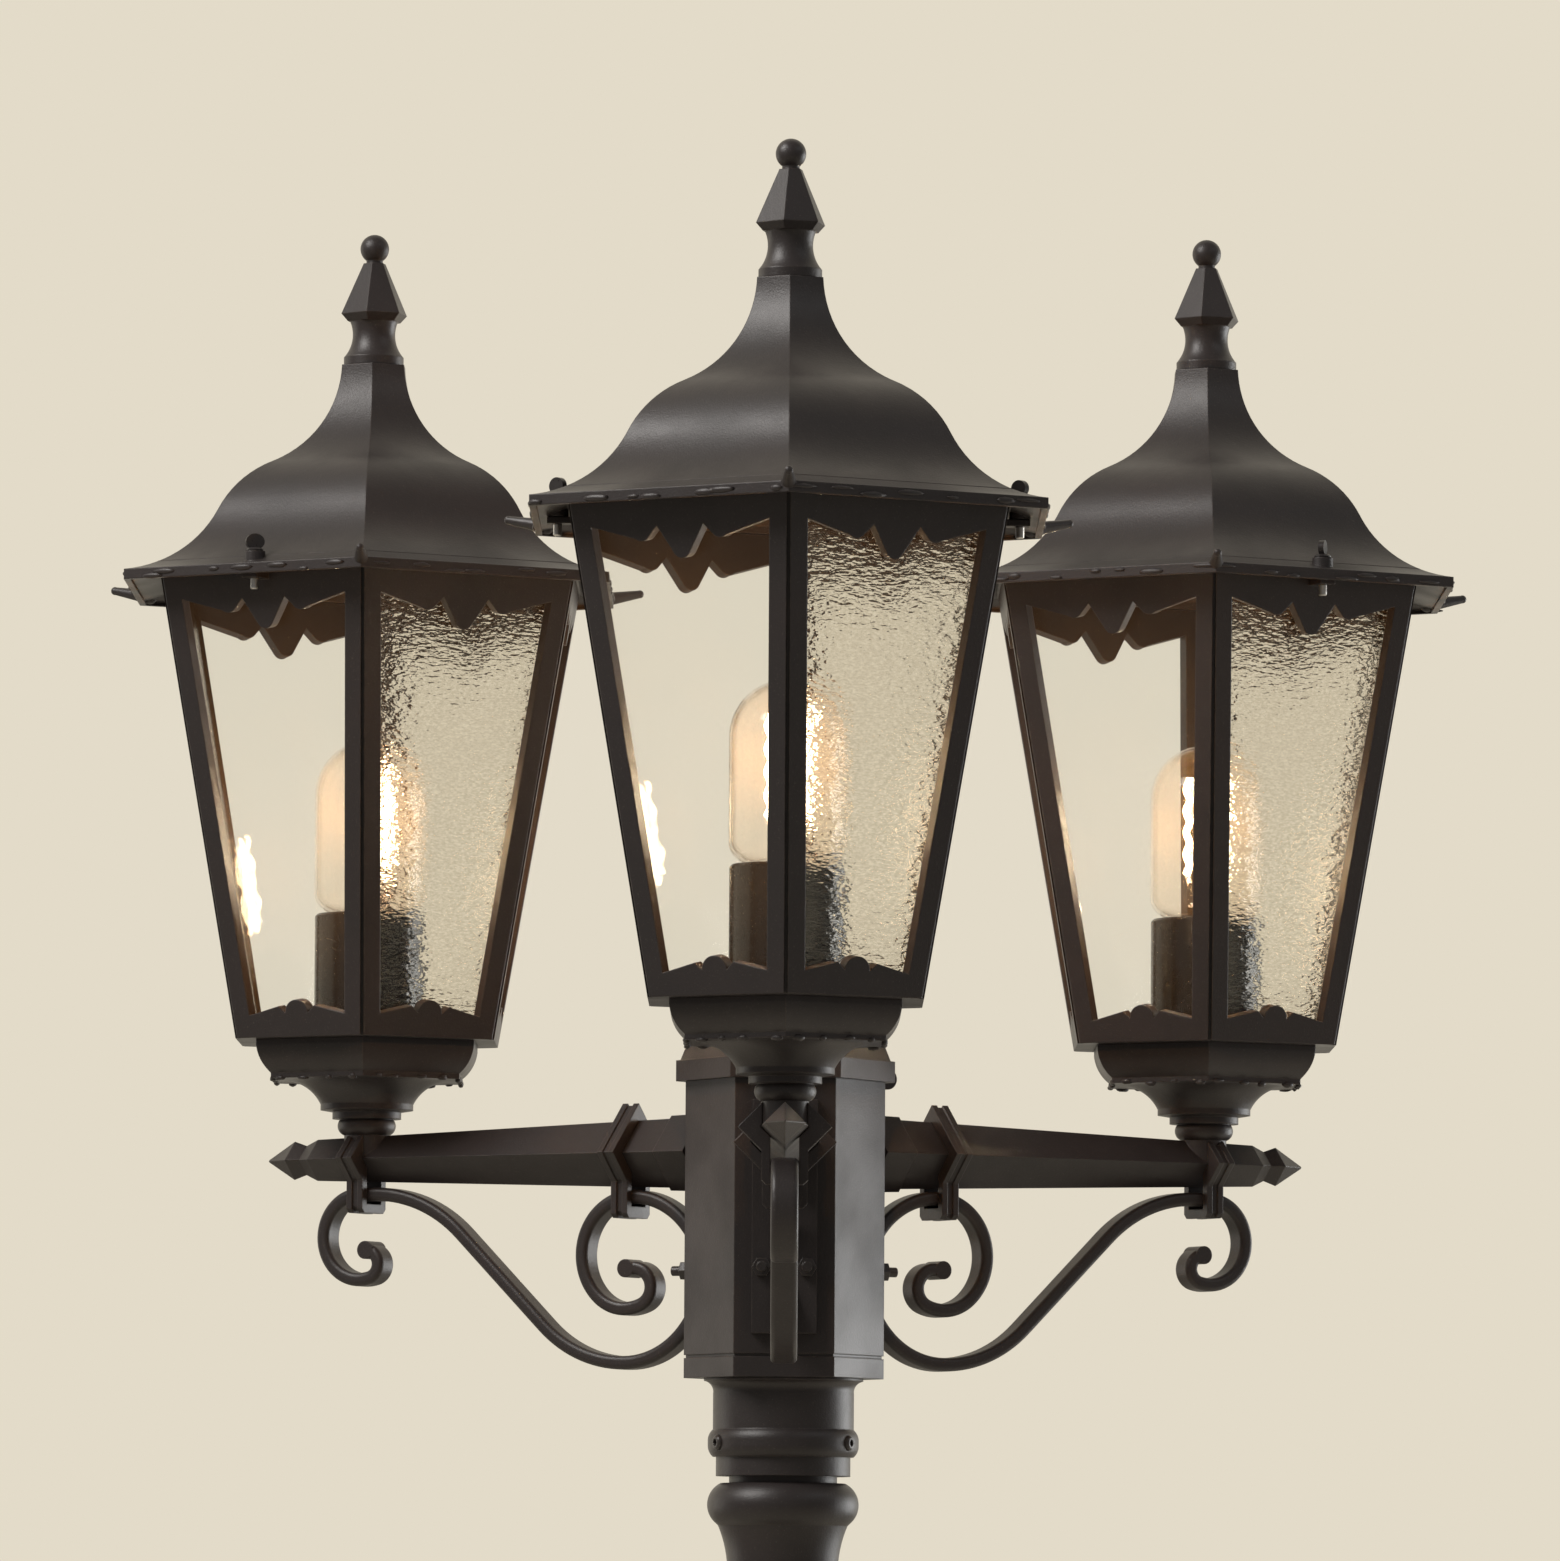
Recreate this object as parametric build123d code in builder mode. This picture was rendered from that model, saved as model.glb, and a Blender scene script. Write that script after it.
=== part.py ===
from build123d import *

import os
from math import cos, radians, sin, sqrt

os.makedirs("parts", exist_ok=True)

# A garden lamp post with three hexagonal lanterns on scrolled arms.
# Millimetres, +Z up. The origin is on the post's axis at ground level.

# ------------------------------------------------------------------ layout
arm_angles = {"front": -90, "left": 150, "right": 30}  # directions of the arms about +Z, degrees
arm_reach = 198.0  # post axis to lantern axis
arm_rise = 91.2  # column foot to the arms' axis

# ------------------------------------------------------------------ clearances
running_gap = 0.3  # between pieces that move on each other
thread_gap = 0.1  # between a screw or stem and its hole
seat_gap = 0.2  # between pieces clamped side by side

# ------------------------------------------------------------------ base casting
base_radius = 115.0
base_flange = 10.0  # thickness of the round flange
base_wall = 6.0
base_step_radius = 96.0
base_ovolo_radius = 74.0  # where the rounded step on the flange ends
base_ovolo_z = 26.0
base_ovolo_inset = 5.0
base_ovolo_rise = 11.0
base_waist_radius = 50.0
base_waist_z = 95.0
base_sweep_out = 8.0  # middle of the hollow sweep, out from the waist and up from the step
base_sweep_rise = 24.0
base_bead_radius = 55.0
base_bead = 12.0  # height of the round bead above the waist
base_neck_radius = 40.0
base_neck_out = 2.0
base_neck_rise = 40.0
base_band_stand = 3.0  # plain band round the socket's foot
base_band_half = 4.0
base_band_edge = 2.0
base_socket_z = 205.0  # shoulder that the tube stands on
base_socket_depth = 60.0
base_shoulder_radius = 24.0  # cable way through the shoulder
base_hollow_rise = 18.0
base_hollow_taper = 60.0
bolt_circle_diameter = 190.0
bolt_count = 4
bolt_hole_radius = 5.5

# ------------------------------------------------------------------ post tube
tube_foot_radius = 30.0
tube_top_radius = 24.0
tube_wall = 3.0
tube_length = 1402.0
tube_top_z = base_socket_z + tube_length

# ------------------------------------------------------------------ post top, a turned vase with a spigot
vase_plug_length = 40.0
cable_way_radius = 12.0
vase_ring_radius = 27.5
vase_ring = 12.0
vase_ring_edge = 1.0
vase_neck_radius = 21.5
vase_neck_rise = 14.0  # from the ring to the thinnest place
vase_throat_radius = 22.3
vase_throat_drop = 15.0  # below the step
vase_flare_radius = 23.5
vase_flare_drop = 8.0
vase_step_radius = 26.7
vase_step_edge = 0.8
vase_step_drop = 16.1  # below the lip
vase_belly_radius = 30.3
vase_belly_drop = 8.7
vase_lip_radius = 25.0
vase_height = 78.2  # the tube's top to the vase's lip
shadow_gap = 2.8  # open joint between the vase's lip and the collar
spigot_radius = 21.6
spigot_length = 38.0
collar_depth = 39.0  # how far the head's collar hangs below the column
vase_lip_z = tube_top_z + vase_height
spigot_top_z = vase_lip_z + spigot_length
column_foot_z = vase_lip_z + shadow_gap + collar_depth  # underside of the hexagonal column
arm_z = column_foot_z + arm_rise

# ------------------------------------------------------------------ head collar
collar_top_radius = 31.9
collar_top_edge = 1.0
collar_radius = 28.2
collar_ogee = 6.1
collar_ogee_out = 0.6
collar_bead_radius = 30.2
collar_bead_drop = 20.4  # column foot down to the bead
collar_bead = 10.9
bead_band = 2.0  # upright band in the middle of the bead
bead_via_radius = 29.68
bead_via_rise = 2.0
collar_skirt_radius = 26.9
collar_floor_z = spigot_top_z + running_gap
collar_screw_count = 3
collar_screw_radius = 3.0
collar_screw_stand = 1.3  # how far the domed ends stand out of the bead
hex_key_radius = 1.5

# ------------------------------------------------------------------ hexagonal column
column_radius = 40.0  # axis to corner
column_height = 125.2
column_wall = 4.0
column_floor = 6.0
column_band = 8.0  # plain band below the groove
groove_width = 1.2
groove_depth = 0.7
column_face = column_radius * cos(radians(30))  # axis to flat
pillar_radius = 11.0
pillar_bore_radius = 8.0

# ------------------------------------------------------------------ column cap
cap_radius = 43.9
cap_fascia = 8.4
cap_shoulder_radius = 42.2
cap_bevel_radius = 37.6
cap_bevel = 11.5
cap_crown_radius = 6.0
cap_height = 33.4  # skirt's foot to the crown
cap_wall = 3.0
cap_overlap = 6.4  # the skirt hangs this far over the column
cap_screw_radius = 2.0
cap_screw_rise = 2.6  # skirt's foot up to the screw's axis
cap_screw_turn = 30  # the flat that carries the screw, degrees
cap_screw_stand = 9.0  # skirt to the screw's wing
cap_wing_radius = 4.2
cap_wing_thickness = 2.2

# ------------------------------------------------------------------ terminal block
terminal_radius = 13.0
terminal_height = 18.0
terminal_screw_radius = 1.8
terminal_screw_spacing = 8.5
terminal_screw_count = 6
lead_entry_depth = 6.0

# ------------------------------------------------------------------ arms
plate_thickness = 4.0
plate_width = 26.0
plate_low = 17.0  # above the column foot
plate_high = 110.0
plate_x = column_face + plate_thickness  # outer face of the arm's foot plate
arm_root_half = 14.4  # half diagonal of the square bar at its foot
arm_end_half = 8.46
arm_end_x = 221.5
root_collar_length = 14.4
root_collar_stand = 1.2
tip_neck_half = 6.0
tip_neck_x = 226.9
tip_half = 7.9
tip_x = 232.7
tip_point_x = 245.1
tip_point_half = 0.5
boss_radius = 9.2
lead_radius = 2.0
lead_bore_radius = 3.5
lead_bend = 8.0
bolt_spread = 9.0  # each arm bolt's distance from the arm's plane
bolt_rise = 43.3  # above the column foot
arm_bolt_radius = 2.0
arm_nut_radius = 4.0
arm_nut = 3.2
arm_bolt_end_x = 46.4
arm_bolt_head = 2.8


def arm_half(x):
    """Half diagonal of the tapering square bar, x from the post's axis."""
    share = (x - plate_x) / (arm_end_x - plate_x)
    return arm_root_half + (arm_end_half - arm_root_half) * share



# ------------------------------------------------------------------ scrolls under the arms
rod_width = 10.6  # across the arm's plane
rod_thickness = 5.5
rod_round = 2.0  # the rounded edges of the flat rod
curl_end_radius = 3.7
scroll_foot_turn = 78.0  # the rods run out against the foot plate, degrees
outer_crest = 76.7  # above the column foot
outer_low = 6.9
outer_low_x = 72.5
outer_rise_bend = 55.0
outer_slope = 43.6  # degrees
outer_crest_bend = 60.0
outer_curl_bend = 17.4
outer_curl_turn = 196.0
outer_eye_bend = 5.8
outer_eye_turn = 159.0
outer_curl_x = 198.8
inner_crest = 73.8
inner_crest_x = 69.4
inner_curl_bend = 23.1
inner_curl_turn = 138.0
inner_fall_bend = 18.9
inner_fall_turn = 65.5
inner_eye_bend = 7.7
inner_eye_turn = 158.6
inner_end_run = 3.1

# ------------------------------------------------------------------ straps that clamp the scrolls to the bar
strap_band = 7.6  # along the arm
strap_rib = 2.5
strap_groove = 0.9
strap_leg_half = 9.0
strap_slack = 1.2  # under the curved rod
strap_corner = 1.8
outer_strap_half = 18.0
outer_strap_floor = 3.7
inner_strap_x = inner_crest_x + 2.6
inner_strap_half = 20.4
inner_strap_floor = 4.7

# ------------------------------------------------------------------ lantern cup
cup_height = 37.9
cup_wall = 4.0
neck_radius = 9.4
neck_bulge_radius = 11.9
cup_z = arm_z + arm_half(arm_reach - neck_bulge_radius) + seat_gap  # the lantern's seat, clear of the bar
neck_bulge = 6.6  # height of the rounded neck
neck_top_radius = 10.8
small_ring_radius = 14.1
small_ring = 2.8
large_ring_radius = 19.0
large_ring = 3.2
large_ring_edge = 0.8
cove_radius = 36.6
cove_height = 9.6
cove_via_radius = 24.6
cove_via_rise = 6.6
cup_edge_radius = 44.4  # axis to corner of the hexagonal edge
cup_edge = 2.2
bowl_radius = 51.3
bowl_top = 2.4  # upright band at the top of the bowl
bowl_via_inset = 1.8
bowl_via_rise = 5.2
stem_radius = 5.0
stem_wall = 1.4
stem_engage = 3.1  # the stem's depth in the arm's boss
stem_stand = 6.0  # the stem's top above the cage floor
stem_nut_radius = 8.5
stem_nut = 4.0

# ------------------------------------------------------------------ lantern cage
cage_foot_radius = 60.8
cage_top_radius = 97.4
cage_height = 188.8
cage_wall = 5.0
cage_floor = 3.0
stile_width = 8.4
rail_height = 9.0
rail_peak_height = 12.5
rail_peak_x = 8.6
rail_notch_height = 9.6
rail_notch_x = 5.4
rail_bump_height = 15.0
valance_depth = 11.8
lobe_depth = 18.1
lobe_x = 17.3
lobe_half = 2.6
lobe_rise = 0.9
cusp_depth = 12.5
cusp_x = 10.2
tongue_depth = 25.2
tongue_tip_half = 3.2
tongue_tip = 1.7
corner_slot = 1.3
corner_slot_depth = 2.4
lug_reach = 4.0  # lug beyond the thumb screw's axis
lug_width = 7.0
lug_drop = 2.6  # the lug's top below the cage's
lug_thickness = 2.5
cage_z = cup_z + cup_height
cage_top_z = cage_z + cage_height

# ------------------------------------------------------------------ panes
pane_thickness = 3.0
pane_side_gap = 0.8
pane_top_gap = 3.0

# ------------------------------------------------------------------ lamp holder and bulb
holder_radius = 22.0
holder_height = 49.8
holder_bore_radius = 14.2
holder_web_z = 8.0  # cavity for the stem's nut
holder_web = 3.0
holder_foot_bore = 9.5
holder_edge = 1.0
bulb_radius = 22.4
bulb_shoulder = 8.0
bulb_shoulder_inset = 2.8
bulb_shoulder_rise = 2.2
bulb_neck_radius = 12.2
bulb_length = 71.5  # above the holder
bulb_wall = 1.0
bulb_neck_drop = 12.0
cap_shell_radius = 13.2
cap_shell_wall = 0.6
cap_shell_drop = 28.5
cap_shell_top_drop = 1.5
cap_shell_edge = 1.5
contact_radius = 4.8
contact_cone = 1.5
contact_drop = 3.5
filament_radius = 0.5
filament_cage_radius = 4.6
filament_low = 18.0  # above the holder
filament_high = 58.0
filament_bend = 2.0
filament_turns = (0, 90, 180, 270)
mount_stem_radius = 2.4
mount_flare_radius = 10.9
mount_flare = 14.0  # height of the flared glass foot
mount_via_radius = 4.4

# ------------------------------------------------------------------ roof
eave_overhang = 16.4  # eave's corner beyond the cage's
eave_radius = cage_top_radius + eave_overhang
eave_thickness = 4.2
eave_drop = 3.9  # the eave hangs this far below the cage's top
roof_wall = 2.6
flare_start_angle = 8.4  # slopes of the bell where its three arcs meet, degrees above level
flare_end_angle = 64.0
shoulder_end_angle = 25.2
throat_end_angle = 88.0
flare_bend = 49.1  # radii of the lowest and the highest arc; the middle one takes up the rest
throat_bend = 48.1
roof_neck_flat = 12.74  # axis to flat where the bell ends under the finial
roof_top_solid = 14.0  # solid metal at the top, for the finial's stud
seat_ring_overhang = 0.8  # beyond the cage's corner
seat_ring_width = 7.0
seat_ring_radius = cage_top_radius + seat_ring_overhang
seat_ring_bore = seat_ring_radius - seat_ring_width
seat_ring_height = 4.2
screw_boss_radius = 4.2
screw_x = cage_top_radius * cos(radians(30)) + screw_boss_radius + running_gap  # clear of the cage's flat
screw_boss_rise = 5.4  # above the eave's upper edge
ear_turns = (0, 120, -120)
ear_radius = 1.7  # ball at an ear's end
ear_root_radius = 3.0
ear_neck_radius = 1.6
ear_root = 5.0  # an ear's start inside the eave's corner
ear_start = eave_radius - ear_root
ear_length = 17.8  # start to the ball's middle
ear_tilt = 10.7  # degrees upward

# ------------------------------------------------------------------ thumb screws
screw_radius = 1.7
screw_end_drop = 9.7  # below the cage's top
screw_point = 0.4
screw_collar_radius = 3.4
screw_collar = 1.2
screw_collar_edge = 0.8
wing_sink = 0.8  # the wing's foot in the collar
wing_width = 7.6
wing_thickness = 2.2
wing_height = 6.5
wing_turn = 45  # degrees

# ------------------------------------------------------------------ finial
finial_base_radius = 12.3
finial_base = 3.6
finial_neck_radius = 8.8
finial_neck_rise = 11.6
finial_lip_radius = 14.1
finial_lip_rise = 21.4
finial_lip = 3.0
finial_lip_foot_radius = 11.3
finial_cone_rise = 42.6
finial_cone_radius = 4.7
finial_pin_radius = 3.4  # under the ball
finial_ball_radius = 5.9
finial_ball_rise = 48.7
finial_turn = -11  # its facets are turned a little from the roof's
stud_radius = 3.0
stud_length = 11.0
stud_hole = 12.0

# ------------------------------------------------------------------ directions of the six-sided forms, degrees
face_turns = (30, 90, 150)
corner_turns = (0, 60, 120, 180, 240, 300)
clear_turns = (-150, -30, 90)
textured_turns = (-90, 30, 150)
hex_reach = 160.0
cos30 = cos(radians(30))


# ------------------------------------------------------------------ drawing helpers
def outline(start, *steps):
    """A closed outline: a point ends a straight run, a pair of points is an arc through the first."""
    here = start
    for step in steps:
        if isinstance(step[0], tuple):
            via, end = step
            ThreePointArc(here, via, end)
        else:
            end = step
            Line(here, end)
        here = end
    Line(here, start)


def section(start, *steps, plane=Plane.XZ):
    """A filled outline on a plane; on Plane.XZ a point is (radius, height)."""
    with BuildSketch(plane) as profile:
        with BuildLine():
            outline(start, *steps)
        make_face()
    return profile.sketch


def across(turn, z=0):
    """The upright plane through the Z axis whose x runs in direction turn."""
    direction = (cos(radians(turn)), sin(radians(turn)), 0)
    normal = (sin(radians(turn)), -cos(radians(turn)), 0)
    return Plane(origin=(0, 0, z), x_dir=direction, z_dir=normal)


def hexagonal(draw):
    """A six-sided form about Z; draw() draws the half outline as (distance to the flat, height)."""
    with BuildPart() as form:
        for turn in face_turns:
            with BuildSketch(across(turn)):
                with BuildLine():
                    draw()
                make_face()
                mirror(about=Plane.YZ)
            first = turn == face_turns[0]
            extrude(amount=hex_reach, both=True, mode=Mode.ADD if first else Mode.INTERSECT)
    return form.part


def heading(angle):
    """Unit direction in a plane, degrees up from its x."""
    return (cos(radians(angle)), sin(radians(angle)))


def facing(turn, z, side=0):
    """A plane that looks out from the Z axis in direction turn, at height z and shifted to one side."""
    outward = (cos(radians(turn)), sin(radians(turn)), 0)
    sideways = (-sin(radians(turn)), cos(radians(turn)), 0)
    return Plane(origin=(sideways[0] * side, sideways[1] * side, z), x_dir=sideways, z_dir=outward)


def upright(x, z=0):
    """A plane square to the arm's X axis, its x along Y and its y up."""
    return Plane(origin=(x, 0, z), x_dir=(0, 1, 0), z_dir=(1, 0, 0))


# ------------------------------------------------------------------ base casting
base_top_z = base_socket_z + base_socket_depth
bead_top_z = base_waist_z + base_bead
band_radius = base_neck_radius + base_band_stand
socket_radius = base_neck_radius - base_band_edge
with BuildPart() as base_casting:
    revolve(
        section(
            (0, 0),
            (base_radius, 0),
            (base_radius, base_flange),
            (base_step_radius, base_flange),
            (
                (base_step_radius - base_ovolo_inset, base_flange + base_ovolo_rise),
                (base_ovolo_radius, base_ovolo_z),
            ),
            (
                (base_waist_radius + base_sweep_out, base_ovolo_z + base_sweep_rise),
                (base_waist_radius, base_waist_z),
            ),
            ((base_bead_radius, base_waist_z + base_bead / 2), (base_waist_radius, bead_top_z)),
            (
                (base_neck_radius + base_neck_out, bead_top_z + base_neck_rise),
                (base_neck_radius, base_socket_z - base_band_half - base_band_edge),
            ),
            (band_radius, base_socket_z - base_band_half),
            (band_radius, base_socket_z + base_band_half),
            (socket_radius, base_socket_z + base_band_half + base_band_edge),
            (socket_radius, base_top_z),
            (0, base_top_z),
        ),
        axis=Axis.Z,
    )
    revolve(
        section(
            (0, 0),
            (base_ovolo_radius - base_wall, 0),
            (base_ovolo_radius - base_wall, base_flange),
            (base_waist_radius - base_wall, base_ovolo_z + base_hollow_rise),
            (base_waist_radius - base_wall, base_waist_z),
            (base_neck_radius - base_wall, bead_top_z + base_hollow_taper),
            (base_neck_radius - base_wall, base_socket_z - base_wall),
            (base_shoulder_radius, base_socket_z - base_wall),
            (base_shoulder_radius, base_socket_z),
            (tube_foot_radius + seat_gap, base_socket_z),
            (tube_foot_radius + seat_gap, base_top_z),
            (0, base_top_z),
        ),
        axis=Axis.Z,
        mode=Mode.SUBTRACT,
    )
    with BuildSketch():
        with PolarLocations(bolt_circle_diameter / 2, bolt_count, start_angle=45):
            Circle(bolt_hole_radius)
    extrude(amount=base_flange, mode=Mode.SUBTRACT)
base_casting.part.label = "base_casting"
export_step(base_casting.part, "parts/base_casting.step")

# ------------------------------------------------------------------ post tube
with BuildPart() as post_tube:
    revolve(
        section(
            (tube_foot_radius - tube_wall, base_socket_z),
            (tube_foot_radius, base_socket_z),
            (tube_foot_radius, base_top_z),
            (tube_top_radius, tube_top_z),
            (tube_top_radius - tube_wall, tube_top_z),
            (tube_foot_radius - tube_wall, base_top_z),
        ),
        axis=Axis.Z,
    )
post_tube.part.label = "post_tube"
export_step(post_tube.part, "parts/post_tube.step")

# ------------------------------------------------------------------ post top: plug, ring, vase and spigot
plug_radius = tube_top_radius - tube_wall - seat_gap
ring_top_z = tube_top_z + vase_ring
belly_z = vase_lip_z - vase_belly_drop
step_z = vase_lip_z - vase_step_drop
with BuildPart() as post_vase:
    revolve(
        section(
            (cable_way_radius, tube_top_z - vase_plug_length),
            (plug_radius, tube_top_z - vase_plug_length),
            (plug_radius, tube_top_z),
            (tube_top_radius + vase_ring_edge, tube_top_z),
            ((vase_ring_radius, tube_top_z + vase_ring / 2), (tube_top_radius, ring_top_z)),
            (vase_neck_radius + vase_ring_edge, ring_top_z),
            (
                (vase_neck_radius, ring_top_z + vase_neck_rise),
                (vase_throat_radius, step_z - vase_throat_drop),
            ),
            (
                (vase_flare_radius, step_z - vase_flare_drop),
                (vase_step_radius - vase_step_edge, step_z - vase_step_edge),
            ),
            (vase_step_radius, step_z),
            ((vase_belly_radius, belly_z), (vase_lip_radius, vase_lip_z)),
            (spigot_radius, vase_lip_z),
            (spigot_radius, spigot_top_z),
            (cable_way_radius, spigot_top_z),
        ),
        axis=Axis.Z,
    )
post_vase.part.label = "post_vase"
export_step(post_vase.part, "parts/post_vase.step")

# ------------------------------------------------------------------ head collar with its ring of set screws
collar_foot_z = column_foot_z - collar_depth
collar_bead_top = column_foot_z - collar_bead_drop
collar_bead_foot = collar_bead_top - collar_bead
collar_bead_z = collar_bead_top - collar_bead / 2
bead_band_foot = collar_bead_z - bead_band / 2
bead_band_top = collar_bead_z + bead_band / 2
collar_bore_radius = spigot_radius + running_gap
screw_turns = [30 + 360 / collar_screw_count * (n + 0.5) for n in range(collar_screw_count)]
with BuildPart() as head_collar:
    revolve(
        section(
            (collar_bore_radius, collar_foot_z),
            (collar_skirt_radius, collar_foot_z),
            (collar_skirt_radius, collar_bead_foot),
            (collar_radius, collar_bead_foot),
            ((bead_via_radius, collar_bead_foot + bead_via_rise), (collar_bead_radius, bead_band_foot)),
            (collar_bead_radius, bead_band_top),
            ((bead_via_radius, collar_bead_top - bead_via_rise), (collar_radius, collar_bead_top)),
            (collar_radius, column_foot_z - collar_ogee),
            (
                (collar_radius + collar_ogee_out, column_foot_z - collar_ogee / 2),
                (collar_top_radius, column_foot_z - collar_top_edge),
            ),
            (collar_top_radius, column_foot_z),
            (cable_way_radius, column_foot_z),
            (cable_way_radius, collar_floor_z),
            (collar_bore_radius, collar_floor_z),
        ),
        axis=Axis.Z,
    )
    with BuildSketch(*[facing(turn, collar_bead_z).offset(spigot_radius) for turn in screw_turns]):
        Circle(collar_screw_radius + thread_gap)
    extrude(amount=collar_bead_radius, mode=Mode.SUBTRACT)
head_collar.part.label = "head_collar"
export_step(head_collar.part, "parts/head_collar.step")

collar_screw_length = collar_bead_radius + collar_screw_stand - collar_bore_radius
with BuildPart() as collar_screw:
    with BuildSketch(Plane.YZ.offset(collar_bore_radius)):
        Circle(collar_screw_radius)
    extrude(amount=collar_screw_length)
    fillet(collar_screw.edges().sort_by(Axis.X)[-1], collar_screw_stand)
    with BuildSketch(Plane.YZ.offset(collar_bore_radius + collar_screw_length)):
        RegularPolygon(hex_key_radius, 6)
    extrude(amount=-collar_screw_length / 2, mode=Mode.SUBTRACT)
with BuildPart() as collar_screws:
    for turn in screw_turns:
        with Locations(Location((0, 0, collar_bead_z), (0, 0, turn))):
            add(collar_screw.part)
collar_screws.part.label = "collar_screws"
export_step(collar_screws.part, "parts/collar_screws.step")

# ------------------------------------------------------------------ hexagonal column, open at the top
column_top_z = column_foot_z + column_height
cap_skirt_z = column_top_z - cap_overlap
cap_screw_z = cap_skirt_z + cap_screw_rise
terminal_z = arm_z - terminal_height / 2
with BuildPart() as column_body:
    with BuildSketch(Plane.XY.offset(column_foot_z)):
        RegularPolygon(column_radius, 6)
    extrude(amount=column_height)
    with BuildSketch(Plane.XY.offset(column_foot_z + column_floor)):
        RegularPolygon(column_radius - column_wall / cos30, 6)
        Circle(pillar_radius, mode=Mode.SUBTRACT)
    extrude(amount=column_height - column_floor, mode=Mode.SUBTRACT)
    with BuildSketch(Plane.XY.offset(terminal_z)):
        Circle(pillar_radius)
    extrude(amount=column_height, mode=Mode.SUBTRACT)
    with BuildSketch(Plane.XY.offset(column_foot_z)):
        Circle(pillar_bore_radius)
    extrude(amount=column_height, mode=Mode.SUBTRACT)
    with BuildSketch(Plane.XY.offset(column_foot_z + column_band)):
        RegularPolygon(column_radius + groove_depth, 6)
        RegularPolygon(column_radius - groove_depth / cos30, 6, mode=Mode.SUBTRACT)
    extrude(amount=groove_width, mode=Mode.SUBTRACT)
    for turn in arm_angles.values():
        with BuildSketch(facing(turn, arm_z)):
            Circle(lead_bore_radius)
        extrude(amount=column_radius, mode=Mode.SUBTRACT)
        for side in (-bolt_spread, bolt_spread):
            with BuildSketch(facing(turn, column_foot_z + bolt_rise, side)):
                Circle(arm_bolt_radius + thread_gap)
            extrude(amount=column_radius, mode=Mode.SUBTRACT)
    with BuildSketch(facing(cap_screw_turn, cap_screw_z)):
        Circle(cap_screw_radius + thread_gap)
    extrude(amount=column_radius, mode=Mode.SUBTRACT)
column_body.part.label = "column_body"
export_step(column_body.part, "parts/column_body.step")

# ------------------------------------------------------------------ column cap, a lid with a skirt
cap_fascia_z = cap_skirt_z + cap_fascia
cap_top_z = cap_skirt_z + cap_height
cap_inside_radius = column_radius + seat_gap / cos30
with BuildPart() as column_cap:
    with BuildSketch(Plane.XY.offset(cap_skirt_z)):
        RegularPolygon(cap_radius, 6)
    extrude(amount=cap_fascia)
    with BuildSketch(Plane.XY.offset(cap_fascia_z)):
        RegularPolygon(cap_shoulder_radius, 6)
    with BuildSketch(Plane.XY.offset(cap_fascia_z + cap_bevel)):
        RegularPolygon(cap_bevel_radius, 6)
    with BuildSketch(Plane.XY.offset(cap_top_z)):
        RegularPolygon(cap_crown_radius, 6)
    loft(ruled=True)
    with BuildSketch(Plane.XY.offset(cap_skirt_z)):
        RegularPolygon(cap_inside_radius, 6)
    extrude(amount=cap_overlap, mode=Mode.SUBTRACT)
    with BuildSketch(Plane.XY.offset(column_top_z)):
        RegularPolygon(column_radius - column_wall / cos30, 6)
    extrude(amount=cap_fascia + cap_bevel - cap_overlap - cap_wall, mode=Mode.SUBTRACT)
    with BuildSketch(facing(cap_screw_turn, cap_screw_z)):
        Circle(cap_screw_radius + thread_gap)
    extrude(amount=cap_radius, mode=Mode.SUBTRACT)
column_cap.part.label = "column_cap"
export_step(column_cap.part, "parts/column_cap.step")

cap_face = cap_radius * cos30
with BuildPart() as cap_screw:
    with BuildSketch(facing(cap_screw_turn, cap_screw_z).offset(column_face - column_wall)):
        Circle(cap_screw_radius)
    extrude(amount=column_wall + cap_face - column_face + cap_screw_stand)
    with BuildSketch(facing(cap_screw_turn, cap_screw_z).offset(cap_face)):
        Circle(cap_wing_radius - cap_wing_thickness / 2)
    extrude(amount=cap_wing_thickness)
    with BuildSketch(across(cap_screw_turn, cap_screw_z)):
        with Locations((cap_face + cap_screw_stand, 0)):
            Circle(cap_wing_radius)
    extrude(amount=cap_wing_thickness / 2, both=True)
cap_screw.part.label = "cap_screw"
export_step(cap_screw.part, "parts/cap_screw.step")

# ------------------------------------------------------------------ terminal block on the column's pillar
terminal_top_z = terminal_z + terminal_height
lead_start_x = terminal_radius - lead_entry_depth
with BuildPart() as terminal_block:
    with BuildSketch(Plane.XY.offset(terminal_z)):
        Circle(terminal_radius)
    extrude(amount=terminal_height)
    with BuildSketch(Plane.XY.offset(terminal_top_z)):
        with PolarLocations(terminal_screw_spacing, terminal_screw_count):
            Circle(terminal_screw_radius)
    extrude(amount=-terminal_height / 3, mode=Mode.SUBTRACT)
    for turn in arm_angles.values():
        with BuildSketch(facing(turn, arm_z).offset(lead_start_x)):
            Circle(lead_radius + thread_gap)
        extrude(amount=terminal_radius, mode=Mode.SUBTRACT)
terminal_block.part.label = "terminal_block"
export_step(terminal_block.part, "parts/terminal_block.step")

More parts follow.
